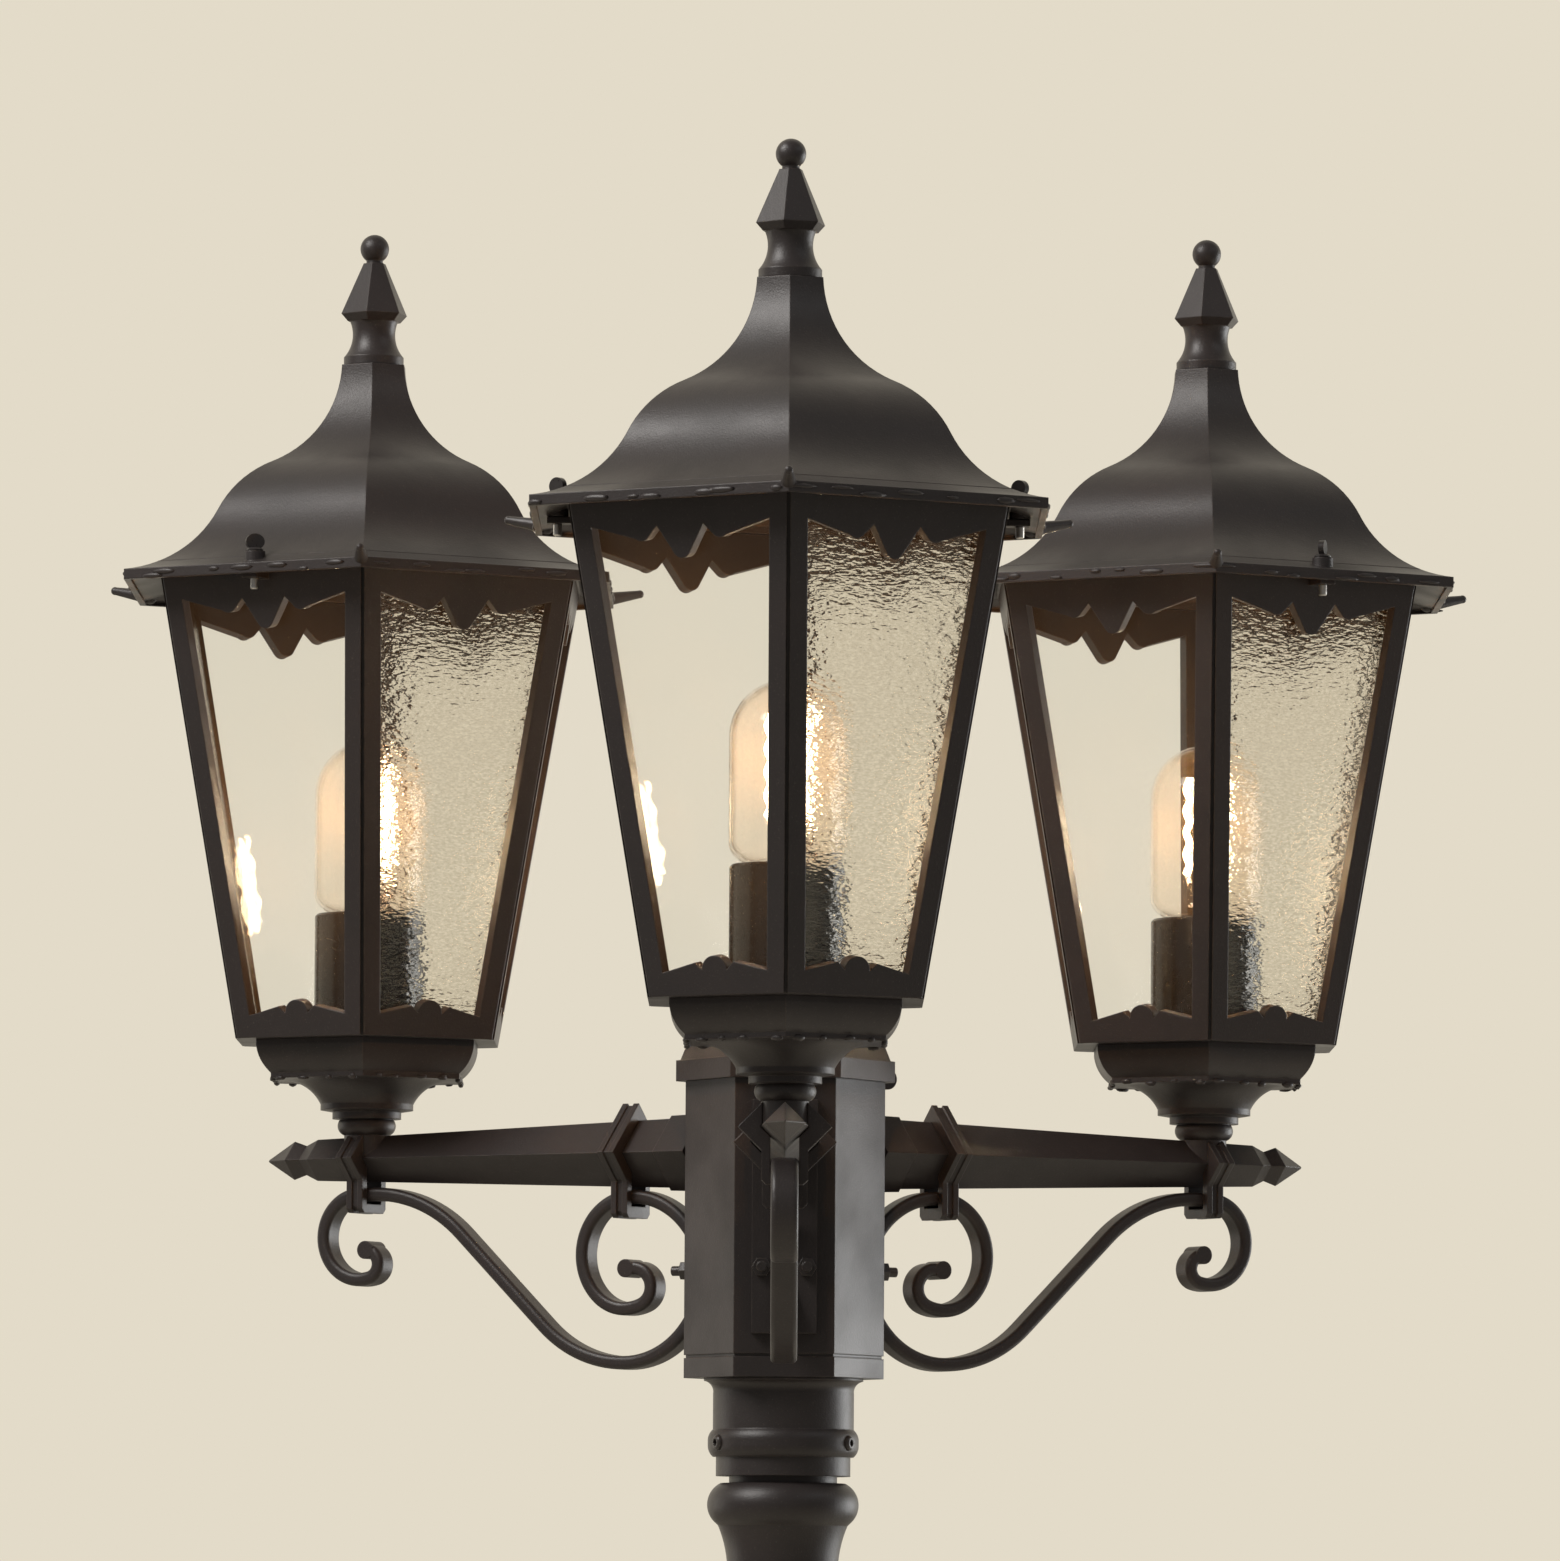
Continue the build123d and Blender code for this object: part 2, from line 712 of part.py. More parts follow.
# ------------------------------------------------------------------ arm: foot plate, tapering square bar, point
holder_z = cage_z + cage_floor
with BuildPart() as arm_bar:
    with BuildSketch(upright(column_face)):
        with Locations((0, column_foot_z + (plate_low + plate_high) / 2)):
            Rectangle(plate_width, plate_high - plate_low)
    extrude(amount=plate_thickness)
    bar_stations = (
        (plate_x, arm_root_half),
        (arm_end_x, arm_end_half),
        (tip_neck_x, tip_neck_half),
        (tip_x, tip_half),
        (tip_point_x, tip_point_half),
    )
    for x, half in bar_stations:
        with BuildSketch(upright(x, arm_z)):
            RegularPolygon(half, 4)
    loft(ruled=True)
    for x in (plate_x, plate_x + root_collar_length):
        with BuildSketch(upright(x, arm_z)):
            RegularPolygon(arm_half(x) + root_collar_stand, 4)
    loft(ruled=True)
    with BuildSketch(Plane.XY.offset(arm_z)):
        with Locations((arm_reach, 0)):
            Circle(boss_radius)
    extrude(amount=cup_z - arm_z)
    with BuildSketch(Plane.XY.offset(cup_z)):
        with Locations((arm_reach, 0)):
            Circle(stem_radius + thread_gap)
    extrude(amount=-stem_engage, mode=Mode.SUBTRACT)
    with BuildLine(Plane.XZ):
        FilletPolyline((0, arm_z), (arm_reach, arm_z), (arm_reach, arm_z + 2 * lead_bend), radius=lead_bend)
    with BuildSketch(upright(0, arm_z)):
        Circle(lead_bore_radius)
    sweep(mode=Mode.SUBTRACT)
    for side in (-bolt_spread, bolt_spread):
        with BuildSketch(facing(0, column_foot_z + bolt_rise, side)):
            Circle(arm_bolt_radius + thread_gap)
        extrude(amount=2 * plate_x, mode=Mode.SUBTRACT)


# ------------------------------------------------------------------ scroll rods, swept along tangent arcs
def rod_profile(path):
    """The rounded section of a scroll rod, square to the start of its path."""
    with BuildSketch(Plane(origin=path @ 0, x_dir=(0, 1, 0), z_dir=path % 0)) as profile:
        Rectangle(rod_width, rod_thickness)
        fillet(profile.vertices(), rod_round)
    return profile.sketch


def foot_start(x, z, bend, turn):
    """Where a foot arc begins if it has to arrive level at (x, z)."""
    return (x - bend * sin(radians(turn)), z - bend * (1 - cos(radians(turn))))


outer_low_z = column_foot_z + outer_low
outer_crest_z = column_foot_z + outer_crest
outer_foot_bend = outer_low_x - plate_x + rod_thickness / 2
slope_drop = 1 - cos(radians(outer_slope))
slope_climb = outer_crest - outer_low - (outer_rise_bend + outer_crest_bend) * slope_drop
outer_run = slope_climb / sin(radians(outer_slope))
outer_foot = foot_start(outer_low_x, outer_low_z, -outer_foot_bend, -scroll_foot_turn)
with BuildLine(Plane.XZ) as outer_path:
    foot = JernArc(outer_foot, heading(-scroll_foot_turn), outer_foot_bend, scroll_foot_turn)
    rise = JernArc(foot @ 1, foot % 1, outer_rise_bend, outer_slope)
    slope = PolarLine(rise @ 1, outer_run, direction=rise % 1)
    crest = JernArc(slope @ 1, slope % 1, outer_crest_bend, -outer_slope)
    level = Line(crest @ 1, (outer_curl_x, outer_crest_z))
    curl = JernArc(level @ 1, level % 1, outer_curl_bend, -outer_curl_turn)
    JernArc(curl @ 1, curl % 1, outer_eye_bend, -outer_eye_turn)
outer_end = outer_path.line @ 1
with BuildPart() as scroll_outer:
    sweep(rod_profile(outer_path.line), path=outer_path.line)
    split(bisect_by=Plane.YZ.offset(plate_x), keep=Keep.TOP)
    with BuildSketch(Plane.XZ):
        with Locations((outer_end.X, outer_end.Z)):
            Circle(curl_end_radius)
    extrude(amount=rod_width / 2, both=True)

inner_crest_z = column_foot_z + inner_crest
inner_foot_bend = inner_crest_x - plate_x + rod_thickness / 2
inner_foot = foot_start(inner_crest_x, inner_crest_z, inner_foot_bend, scroll_foot_turn)
with BuildLine(Plane.XZ) as inner_path:
    foot = JernArc(inner_foot, heading(scroll_foot_turn), inner_foot_bend, -scroll_foot_turn)
    curl = JernArc(foot @ 1, foot % 1, inner_curl_bend, -inner_curl_turn)
    fall = JernArc(curl @ 1, curl % 1, inner_fall_bend, -inner_fall_turn)
    eye = JernArc(fall @ 1, fall % 1, inner_eye_bend, -inner_eye_turn)
    PolarLine(eye @ 1, inner_end_run, direction=eye % 1)
inner_end = inner_path.line @ 1
with BuildPart() as scroll_inner:
    sweep(rod_profile(inner_path.line), path=inner_path.line)
    split(bisect_by=Plane.YZ.offset(plate_x), keep=Keep.TOP)
    with BuildSketch(Plane.XZ):
        with Locations((inner_end.X, inner_end.Z)):
            Circle(curl_end_radius)
    extrude(amount=rod_width / 2, both=True)


# ------------------------------------------------------------------ straps that hold the rods under the bar
def strap_outline(x, half, leg_half, rod_z, floor, bar_half):
    """A diamond collar round the bar with a square loop below it round the scroll rod."""
    rod_foot = rod_z - rod_thickness / 2 - strap_slack
    with BuildSketch(upright(x)) as loop:
        with Locations((0, arm_z)):
            RegularPolygon(half, 4)
        with Locations((0, (arm_z + rod_foot - floor) / 2)):
            Rectangle(2 * leg_half, arm_z - rod_foot + floor)
        chamfer(loop.vertices().group_by(Axis.Y)[0], strap_corner)
        with Locations((0, (arm_z + rod_foot) / 2)):
            Rectangle(rod_width + 2 * seat_gap, arm_z - rod_foot, mode=Mode.SUBTRACT)
        with Locations((0, arm_z)):
            RegularPolygon(bar_half + seat_gap, 4, mode=Mode.SUBTRACT)
    return loop.sketch


strap_places = (
    (arm_reach, outer_strap_half, outer_crest_z, outer_strap_floor),
    (inner_strap_x, inner_strap_half, inner_crest_z, inner_strap_floor),
)
strap_layers = (
    (0, strap_rib, 0),
    (strap_rib, strap_band - strap_rib, strap_groove),
    (strap_band - strap_rib, strap_band, 0),
)
with BuildPart() as arm_straps:
    for x, half, rod_z, floor in strap_places:
        start = x - strap_band / 2
        for low, high, inset in strap_layers:
            sizes = (half - inset, strap_leg_half - inset, rod_z, floor - inset, arm_half(start))
            extrude(strap_outline(start + low, *sizes), amount=high - low)
    with BuildSketch(Plane.XY.offset(arm_z)):
        with Locations((arm_reach, 0)):
            Circle(boss_radius + seat_gap)
    extrude(amount=cup_z - arm_z, mode=Mode.SUBTRACT)
    with BuildSketch(Plane.XY.offset(cup_z)):
        with Locations((arm_reach, 0)):
            Rectangle(2 * strap_band, 2 * outer_strap_half)
    extrude(amount=outer_strap_half, mode=Mode.SUBTRACT)

# ------------------------------------------------------------------ arm bolts: heads inside the column, nuts outside
column_inside = column_face - column_wall
with BuildPart() as arm_bolt_pair:
    for side in (-bolt_spread, bolt_spread):
        bolt_plane = facing(0, column_foot_z + bolt_rise, side)
        with BuildSketch(bolt_plane.offset(column_inside)):
            Circle(arm_bolt_radius)
        extrude(amount=arm_bolt_end_x - column_inside)
        with BuildSketch(bolt_plane.offset(column_inside)):
            RegularPolygon(arm_nut_radius, 6)
        extrude(amount=-arm_bolt_head)
        with BuildSketch(bolt_plane.offset(plate_x)):
            RegularPolygon(arm_nut_radius, 6)
        extrude(amount=arm_nut)

# ------------------------------------------------------------------ lead from the terminal block to a lamp holder
lead_end_z = holder_z + holder_web_z
with BuildPart() as arm_lead:
    with BuildLine(Plane.XZ):
        FilletPolyline((lead_start_x, arm_z), (arm_reach, arm_z), (arm_reach, lead_end_z), radius=lead_bend)
    with BuildSketch(upright(lead_start_x, arm_z)):
        Circle(lead_radius)
    sweep()

# ------------------------------------------------------------------ lantern cup; lanterns are drawn about their own axis
small_ring_z = cup_z + neck_bulge
large_ring_z = small_ring_z + small_ring
cove_z = large_ring_z + large_ring
cup_edge_z = cove_z + cove_height
bowl_z = cup_edge_z + cup_edge
edge_flat = cup_edge_radius * cos30
bowl_flat = bowl_radius * cos30


def draw_bowl():
    """Half outline of the cup's six-sided edge and bowl."""
    outline(
        (0, cup_edge_z),
        (edge_flat, cup_edge_z),
        (edge_flat, bowl_z),
        ((bowl_flat - bowl_via_inset, bowl_z + bowl_via_rise), (bowl_flat, cage_z - bowl_top)),
        (bowl_flat, cage_z),
        (0, cage_z),
    )


with BuildPart() as cup:
    revolve(
        section(
            (0, cup_z),
            (neck_radius, cup_z),
            ((neck_bulge_radius, cup_z + neck_bulge / 2), (neck_top_radius, small_ring_z)),
            (small_ring_radius, small_ring_z),
            (small_ring_radius, large_ring_z),
            (large_ring_radius, large_ring_z + large_ring_edge),
            (large_ring_radius, cove_z),
            ((cove_via_radius, cove_z + cove_via_rise), (cove_radius, cup_edge_z)),
            (cove_radius, bowl_z),
            (0, bowl_z),
        ),
        axis=Axis.Z,
    )
    add(hexagonal(draw_bowl))
    revolve(
        section(
            (0, cove_z + cup_wall),
            (large_ring_radius - cup_wall, cove_z + cup_wall),
            (cove_radius - cup_wall, bowl_z),
            (0, bowl_z),
        ),
        axis=Axis.Z,
        mode=Mode.SUBTRACT,
    )
    with BuildSketch(Plane.XY.offset(bowl_z)):
        RegularPolygon(cup_edge_radius - cup_wall, 6)
    with BuildSketch(Plane.XY.offset(cage_z)):
        RegularPolygon(bowl_radius - cup_wall, 6)
    loft(ruled=True, mode=Mode.SUBTRACT)
    with BuildSketch(Plane.XY.offset(cup_z)):
        Circle(stem_radius + thread_gap)
    extrude(amount=cup_height, mode=Mode.SUBTRACT)

# ------------------------------------------------------------------ threaded stem and its nut on the cage floor
stem_top_z = holder_z + stem_stand
with BuildPart() as lamp_stem:
    with BuildSketch(Plane.XY.offset(cup_z - stem_engage)):
        Circle(stem_radius)
        Circle(stem_radius - stem_wall, mode=Mode.SUBTRACT)
    extrude(amount=stem_top_z - cup_z + stem_engage)
with BuildPart() as stem_ring_nut:
    with BuildSketch(Plane.XY.offset(holder_z)):
        RegularPolygon(stem_nut_radius, 6)
        Circle(stem_radius + thread_gap, mode=Mode.SUBTRACT)
    extrude(amount=stem_nut)

# ------------------------------------------------------------------ lantern cage of six tilted frames
lean = (cage_top_radius - cage_foot_radius) * cos30
slant = sqrt(cage_height * cage_height + lean * lean)
wall_inset = cage_wall * slant / cage_height / cos30
cage_bore_foot = cage_foot_radius - wall_inset
cage_bore_top = cage_top_radius - wall_inset


def face_plane(turn):
    """The outer face of one tilted frame: origin mid-way along its foot, x to the side, y up the slant."""
    out_x, out_y = heading(turn)
    foot = cage_foot_radius * cos30
    return Plane(
        origin=(out_x * foot, out_y * foot, cage_z),
        x_dir=(-out_y, out_x, 0),
        z_dir=(out_x * cage_height, out_y * cage_height, -lean),
    )


def frame_half(up):
    """Half width of a tilted face at a distance up its slant."""
    return (cage_foot_radius + (cage_top_radius - cage_foot_radius) * up / slant) / 2


def window(plane):
    """A frame's opening: scalloped rail below, scalloped valance above."""
    foot_side = frame_half(rail_height) - stile_width
    shoulder = slant - valance_depth
    shoulder_side = frame_half(shoulder) - stile_width
    cusp = slant - cusp_depth
    lobe = slant - lobe_depth
    lobe_end = lobe + lobe_rise
    tip = slant - tongue_depth
    return section(
        (-foot_side, rail_height),
        (-rail_peak_x, rail_peak_height),
        (-rail_notch_x, rail_notch_height),
        ((0, rail_bump_height), (rail_notch_x, rail_notch_height)),
        (rail_peak_x, rail_peak_height),
        (foot_side, rail_height),
        (shoulder_side, shoulder),
        (lobe_x + lobe_half, lobe_end),
        ((lobe_x, lobe), (lobe_x - lobe_half, lobe_end)),
        (cusp_x, cusp),
        (tongue_tip_half, tip + tongue_tip),
        ((0, tip), (-tongue_tip_half, tip + tongue_tip)),
        (-cusp_x, cusp),
        (lobe_half - lobe_x, lobe_end),
        ((-lobe_x, lobe), (-lobe_x - lobe_half, lobe_end)),
        (-shoulder_side, shoulder),
        plane=plane,
    )


def corner_plane(turn):
    """A plane square to the cage's sloping corner, its y pointing outward."""
    out_x, out_y = heading(turn)
    spread = cage_top_radius - cage_foot_radius
    return Plane(
        origin=(out_x * cage_foot_radius, out_y * cage_foot_radius, cage_z),
        x_dir=(-out_y, out_x, 0),
        z_dir=(out_x * spread, out_y * spread, cage_height),
    )


lug_start = cage_top_radius * cos30 - cage_wall
lug_end = screw_x + lug_reach
lug_top_z = cage_top_z - lug_drop
with BuildPart() as cage:
    for low_radius, high_radius, mode in (
        (cage_foot_radius, cage_top_radius, Mode.ADD),
        (cage_bore_foot, cage_bore_top, Mode.SUBTRACT),
    ):
        with BuildSketch(Plane.XY.offset(cage_z)):
            RegularPolygon(low_radius, 6)
        with BuildSketch(Plane.XY.offset(cage_top_z)):
            RegularPolygon(high_radius, 6)
        loft(ruled=True, mode=mode)
    with BuildSketch(Plane.XY.offset(cage_z)):
        RegularPolygon(cage_bore_foot + cage_wall / 2, 6)
        Circle(stem_radius + thread_gap, mode=Mode.SUBTRACT)
    extrude(amount=cage_floor)
    for turn in clear_turns + textured_turns:
        extrude(window(face_plane(turn)), amount=2 * cage_wall, both=True, mode=Mode.SUBTRACT)
    for turn in corner_turns:
        with BuildSketch(corner_plane(turn)):
            Rectangle(corner_slot, 2 * corner_slot_depth)
        extrude(amount=2 * cage_height, both=True, mode=Mode.SUBTRACT)
    for side in (-1, 1):
        with BuildSketch(Plane.XY.offset(lug_top_z)):
            with Locations((0, side * (lug_start + lug_end) / 2)):
                Rectangle(lug_width, lug_end - lug_start)
            with Locations((0, side * screw_x)):
                Circle(screw_radius + running_gap, mode=Mode.SUBTRACT)
        extrude(amount=-lug_thickness)

# ------------------------------------------------------------------ panes behind the frames
pane_shift = cage_wall + seat_gap
pane_side = (pane_shift + pane_thickness) / sqrt(3) + pane_side_gap
pane_low = ((cage_floor + seat_gap) * slant - pane_shift * lean) / cage_height
pane_high = slant - pane_top_gap


def pane(turn):
    """One trapezoid of glass on the inner face of a frame."""
    low_half = frame_half(pane_low) - pane_side
    high_half = frame_half(pane_high) - pane_side
    corners = ((low_half, pane_low), (high_half, pane_high), (-high_half, pane_high))
    return section((-low_half, pane_low), *corners, plane=face_plane(turn).offset(-pane_shift))


with BuildPart() as clear_panes:
    for turn in clear_turns:
        extrude(pane(turn), amount=-pane_thickness)
with BuildPart() as textured_panes:
    for turn in textured_turns:
        extrude(pane(turn), amount=-pane_thickness)

# ------------------------------------------------------------------ lamp holder
holder_top_z = holder_z + holder_height
web_top_z = lead_end_z + holder_web
with BuildPart() as lamp_holder:
    revolve(
        section(
            (0, lead_end_z),
            (holder_foot_bore, lead_end_z),
            (holder_foot_bore, holder_z),
            (holder_radius, holder_z),
            (holder_radius, holder_top_z - holder_edge),
            (holder_radius - holder_edge, holder_top_z),
            (holder_bore_radius, holder_top_z),
            (holder_bore_radius, web_top_z),
            (0, web_top_z),
        ),
        axis=Axis.Z,
    )

# ------------------------------------------------------------------ bulb: glass, screw shell, filament
bulb_foot_z = holder_top_z + running_gap
bulb_top_z = holder_top_z + bulb_length
dome_z = bulb_top_z - bulb_radius
shoulder_z = bulb_foot_z + bulb_shoulder
neck_foot_z = holder_top_z - bulb_neck_drop
diagonal = cos(radians(45))


def bulb_skin(inset):
    """The bulb's outline from the neck's foot to the top, drawn in by inset."""
    radius = bulb_radius - inset
    neck = bulb_neck_radius - inset
    return (
        (neck, neck_foot_z),
        (neck, bulb_foot_z + inset),
        ((radius - bulb_shoulder_inset, bulb_foot_z + bulb_shoulder_rise + inset), (radius, shoulder_z)),
        (radius, dome_z),
        ((radius * diagonal, dome_z + radius * diagonal), (0, dome_z + radius)),
        (0, neck_foot_z),
    )


with BuildPart() as bulb_glass:
    revolve(section(*bulb_skin(0)), axis=Axis.Z)
    revolve(section(*bulb_skin(bulb_wall)), axis=Axis.Z, mode=Mode.SUBTRACT)

shell_foot_z = holder_top_z - cap_shell_drop
shell_top_z = holder_top_z - cap_shell_top_drop
contact_z = shell_foot_z - contact_drop
cap_fill_z = neck_foot_z - running_gap
with BuildPart() as bulb_cap:
    revolve(
        section(
            (0, contact_z),
            (contact_radius, contact_z),
            (contact_radius + contact_cone, shell_foot_z),
            (cap_shell_radius - cap_shell_edge, shell_foot_z),
            (cap_shell_radius, shell_foot_z + cap_shell_edge),
            (cap_shell_radius, shell_top_z),
            (cap_shell_radius - cap_shell_wall, shell_top_z),
            (cap_shell_radius - cap_shell_wall, cap_fill_z),
            (0, cap_fill_z),
        ),
        axis=Axis.Z,
    )

filament_low_z = holder_top_z + filament_low
filament_high_z = holder_top_z + filament_high
mount_top_z = filament_low_z - filament_cage_radius
filament_points = []
for n, turn in enumerate(filament_turns):
    x, y = heading(turn)
    heights = (filament_low_z, filament_high_z) if n % 2 == 0 else (filament_high_z, filament_low_z)
    filament_points += [(filament_cage_radius * x, filament_cage_radius * y, z) for z in heights]
with BuildPart() as bulb_filament:
    with BuildLine() as filament_path:
        FilletPolyline((0, 0, mount_top_z), *filament_points, (0, 0, mount_top_z), radius=filament_bend)
    with BuildSketch(Plane(origin=filament_path.line @ 0, z_dir=filament_path.line % 0)):
        Circle(filament_radius)
    sweep(path=filament_path.line)
    revolve(
        section(
            (0, neck_foot_z),
            (mount_flare_radius, neck_foot_z),
            (
                (mount_via_radius, neck_foot_z + mount_flare / 2),
                (mount_stem_radius, neck_foot_z + mount_flare),
            ),
            (mount_stem_radius, mount_top_z),
            (0, mount_top_z + mount_stem_radius),
        ),
        axis=Axis.Z,
    )


# ------------------------------------------------------------------ roof, a six-sided bell of thin metal
def climb(bend, start, end):
    """Height gained along an arc between two slopes."""
    return bend * abs(cos(radians(start)) - cos(radians(end)))


def run(bend, start, end):
    """Way gone inward along an arc between two slopes."""
    return bend * abs(sin(radians(start)) - sin(radians(end)))


roof_z = cage_top_z - eave_drop
eave_flat = eave_radius * cos30
shoulder_bend = (
    eave_flat
    - roof_neck_flat
    - run(flare_bend, flare_start_angle, flare_end_angle)
    - run(throat_bend, shoulder_end_angle, throat_end_angle)
) / run(1, shoulder_end_angle, flare_end_angle)
eave_z = roof_z + eave_thickness
flare_climb = climb(flare_bend, flare_start_angle, flare_end_angle)
shoulder_climb = climb(shoulder_bend, flare_end_angle, shoulder_end_angle)
roof_top_z = eave_z + flare_climb + shoulder_climb + climb(throat_bend, shoulder_end_angle, throat_end_angle)
seat_z = cage_top_z + running_gap
boss_foot_z = lug_top_z + running_gap
boss_top_z = eave_z + screw_boss_rise


def draw_bell(inset, foot):
    """Half outline of the bell: an eave and three tangent arcs; inset moves the curve in and down."""
    eave = (eave_flat - inset, eave_z - inset)
    Line((0, foot), (eave_flat - inset, foot))
    Line((eave_flat - inset, foot), eave)
    flare = JernArc(eave, heading(180 - flare_start_angle), flare_bend, flare_start_angle - flare_end_angle)
    shoulder = JernArc(flare @ 1, flare % 1, shoulder_bend, flare_end_angle - shoulder_end_angle)
    throat = JernArc(shoulder @ 1, shoulder % 1, throat_bend, shoulder_end_angle - throat_end_angle)
    crown = (throat @ 1).Y
    Line(throat @ 1, (0, crown))
    Line((0, crown), (0, foot))


with BuildPart() as bell_hollow:
    add(hexagonal(lambda: draw_bell(roof_wall, roof_z - eave_thickness)))
    split(bisect_by=Plane.XY.offset(roof_top_z - roof_top_solid), keep=Keep.BOTTOM)
with BuildPart() as roof:
    add(hexagonal(lambda: draw_bell(0, roof_z)))
    add(bell_hollow.part, mode=Mode.SUBTRACT)
    with BuildSketch(Plane.XY.offset(seat_z)):
        RegularPolygon(seat_ring_radius, 6)
        RegularPolygon(seat_ring_bore, 6, mode=Mode.SUBTRACT)
    extrude(amount=seat_ring_height)
    for radius, mode in ((screw_boss_radius, Mode.ADD), (screw_radius + running_gap, Mode.SUBTRACT)):
        with BuildSketch(Plane.XY.offset(boss_foot_z)):
            with Locations((0, -screw_x), (0, screw_x)):
                Circle(radius)
        extrude(amount=boss_top_z - boss_foot_z, mode=mode)
    for turn in ear_turns:
        out_x, out_y = heading(turn)
        tilt_out, tilt_up = heading(ear_tilt)
        ear_base = Plane(
            origin=(ear_start * out_x, ear_start * out_y, eave_z - roof_wall / 3),
            z_dir=(tilt_out * out_x, tilt_out * out_y, tilt_up),
        )
        with Locations(ear_base.location):
            Sphere(ear_root_radius)
            Cone(ear_root_radius, ear_neck_radius, ear_length, align=(Align.CENTER, Align.CENTER, Align.MIN))
        with Locations(ear_base.offset(ear_length).location):
            Sphere(ear_radius)
    with BuildSketch(Plane.XY.offset(roof_top_z)):
        Circle(stud_radius + thread_gap)
    extrude(amount=-stud_hole, mode=Mode.SUBTRACT)

# ------------------------------------------------------------------ thumb screw
screw_end_z = cage_top_z - screw_end_drop
screw_seat_z = boss_top_z + running_gap
collar_z = screw_seat_z + screw_collar
with BuildPart() as thumb_screw:
    revolve(
        section(
            (0, screw_end_z),
            (screw_radius - screw_point, screw_end_z),
            (screw_radius, screw_end_z + screw_point),
            (screw_radius, screw_seat_z),
            (screw_collar_radius, screw_seat_z),
            (screw_collar_radius, collar_z - screw_collar_edge),
            (screw_collar_radius - screw_collar_edge, collar_z),
            (0, collar_z),
        ),
        axis=Axis.Z,
    )
    wing_x, wing_y = heading(wing_turn)
    with BuildSketch(Plane((0, 0, 0), x_dir=(wing_x, wing_y, 0), z_dir=(wing_y, -wing_x, 0))):
        with Locations((0, collar_z + wing_height / 2 - wing_sink)):
            Ellipse(wing_width / 2, wing_height / 2)
    extrude(amount=wing_thickness / 2, both=True)

# ------------------------------------------------------------------ finial: turned foot, faceted spire, ball, stud
lip_z = roof_top_z + finial_lip_rise
lip_foot_z = lip_z - finial_lip
finial_stages = (
    (lip_foot_z, lip_z, finial_lip_foot_radius, finial_lip_radius),
    (lip_z, roof_top_z + finial_cone_rise, finial_lip_radius, finial_cone_radius),
)
with BuildPart() as finial:
    revolve(
        section(
            (0, roof_top_z),
            (finial_base_radius, roof_top_z),
            (finial_base_radius, roof_top_z + finial_base),
            (
                (finial_neck_radius, roof_top_z + finial_neck_rise),
                (finial_lip_foot_radius * cos30, lip_foot_z),
            ),
            (0, lip_foot_z),
        ),
        axis=Axis.Z,
    )
    for low, high, low_radius, high_radius in finial_stages:
        with BuildSketch(Plane.XY.offset(low)):
            RegularPolygon(low_radius, 6, rotation=finial_turn)
        with BuildSketch(Plane.XY.offset(high)):
            RegularPolygon(high_radius, 6, rotation=finial_turn)
        loft(ruled=True)
    with BuildSketch(Plane.XY.offset(lip_z)):
        Circle(finial_pin_radius)
    extrude(amount=finial_ball_rise - finial_lip_rise)
    with Locations((0, 0, roof_top_z + finial_ball_rise)):
        Sphere(finial_ball_radius)
    with BuildSketch(Plane.XY.offset(roof_top_z)):
        Circle(stud_radius)
    extrude(amount=-stud_length)

# ------------------------------------------------------------------ a copy of each arm piece for every arm
arm_places = {arm: Location((0, 0, 0), (0, 0, angle)) for arm, angle in arm_angles.items()}
arm_pieces = {
    "arm_bar": arm_bar,
    "arm_straps": arm_straps,
    "scroll_outer": scroll_outer,
    "scroll_inner": scroll_inner,
}
for arm, place in arm_places.items():
    for piece, master in arm_pieces.items():
        with BuildPart() as placed:
            with Locations(place):
                add(master.part)
        placed.part.label = f"{piece}_{arm}"
        export_step(placed.part, f"parts/{piece}_{arm}.step")

# ------------------------------------------------------------------ a copy of each lantern piece for every lantern
lantern_pieces = {
    "cup": cup,
    "cage": cage,
    "clear_panes": clear_panes,
    "textured_panes": textured_panes,
    "lamp_holder": lamp_holder,
    "bulb_glass": bulb_glass,
    "bulb_cap": bulb_cap,
    "bulb_filament": bulb_filament,
    "roof": roof,
    "finial": finial,
}
lantern_places = {arm: place * Location((arm_reach, 0, 0)) for arm, place in arm_places.items()}
for arm, place in lantern_places.items():
    for piece, master in lantern_pieces.items():
        with BuildPart() as placed:
            with Locations(place):
                add(master.part)
        placed.part.label = f"{piece}_{arm}"
        export_step(placed.part, f"parts/{piece}_{arm}.step")
    for piece, side in (("screw_left", screw_x), ("screw_right", -screw_x)):
        with BuildPart() as placed:
            with Locations(place * Location((0, side, 0))):
                add(thumb_screw.part)
        placed.part.label = f"{piece}_{arm}"
        export_step(placed.part, f"parts/{piece}_{arm}.step")

# ------------------------------------------------------------------ like pieces of all three arms in one node
shared_pieces = {
    "arm_bolts": (arm_places, [arm_bolt_pair]),
    "arm_leads": (arm_places, [arm_lead]),
    "lamp_stems": (lantern_places, [lamp_stem, stem_ring_nut]),
}
for piece, (places, masters) in shared_pieces.items():
    with BuildPart() as placed:
        for place in places.values():
            with Locations(place):
                for master in masters:
                    add(master.part)
    placed.part.label = piece
    export_step(placed.part, f"parts/{piece}.step")
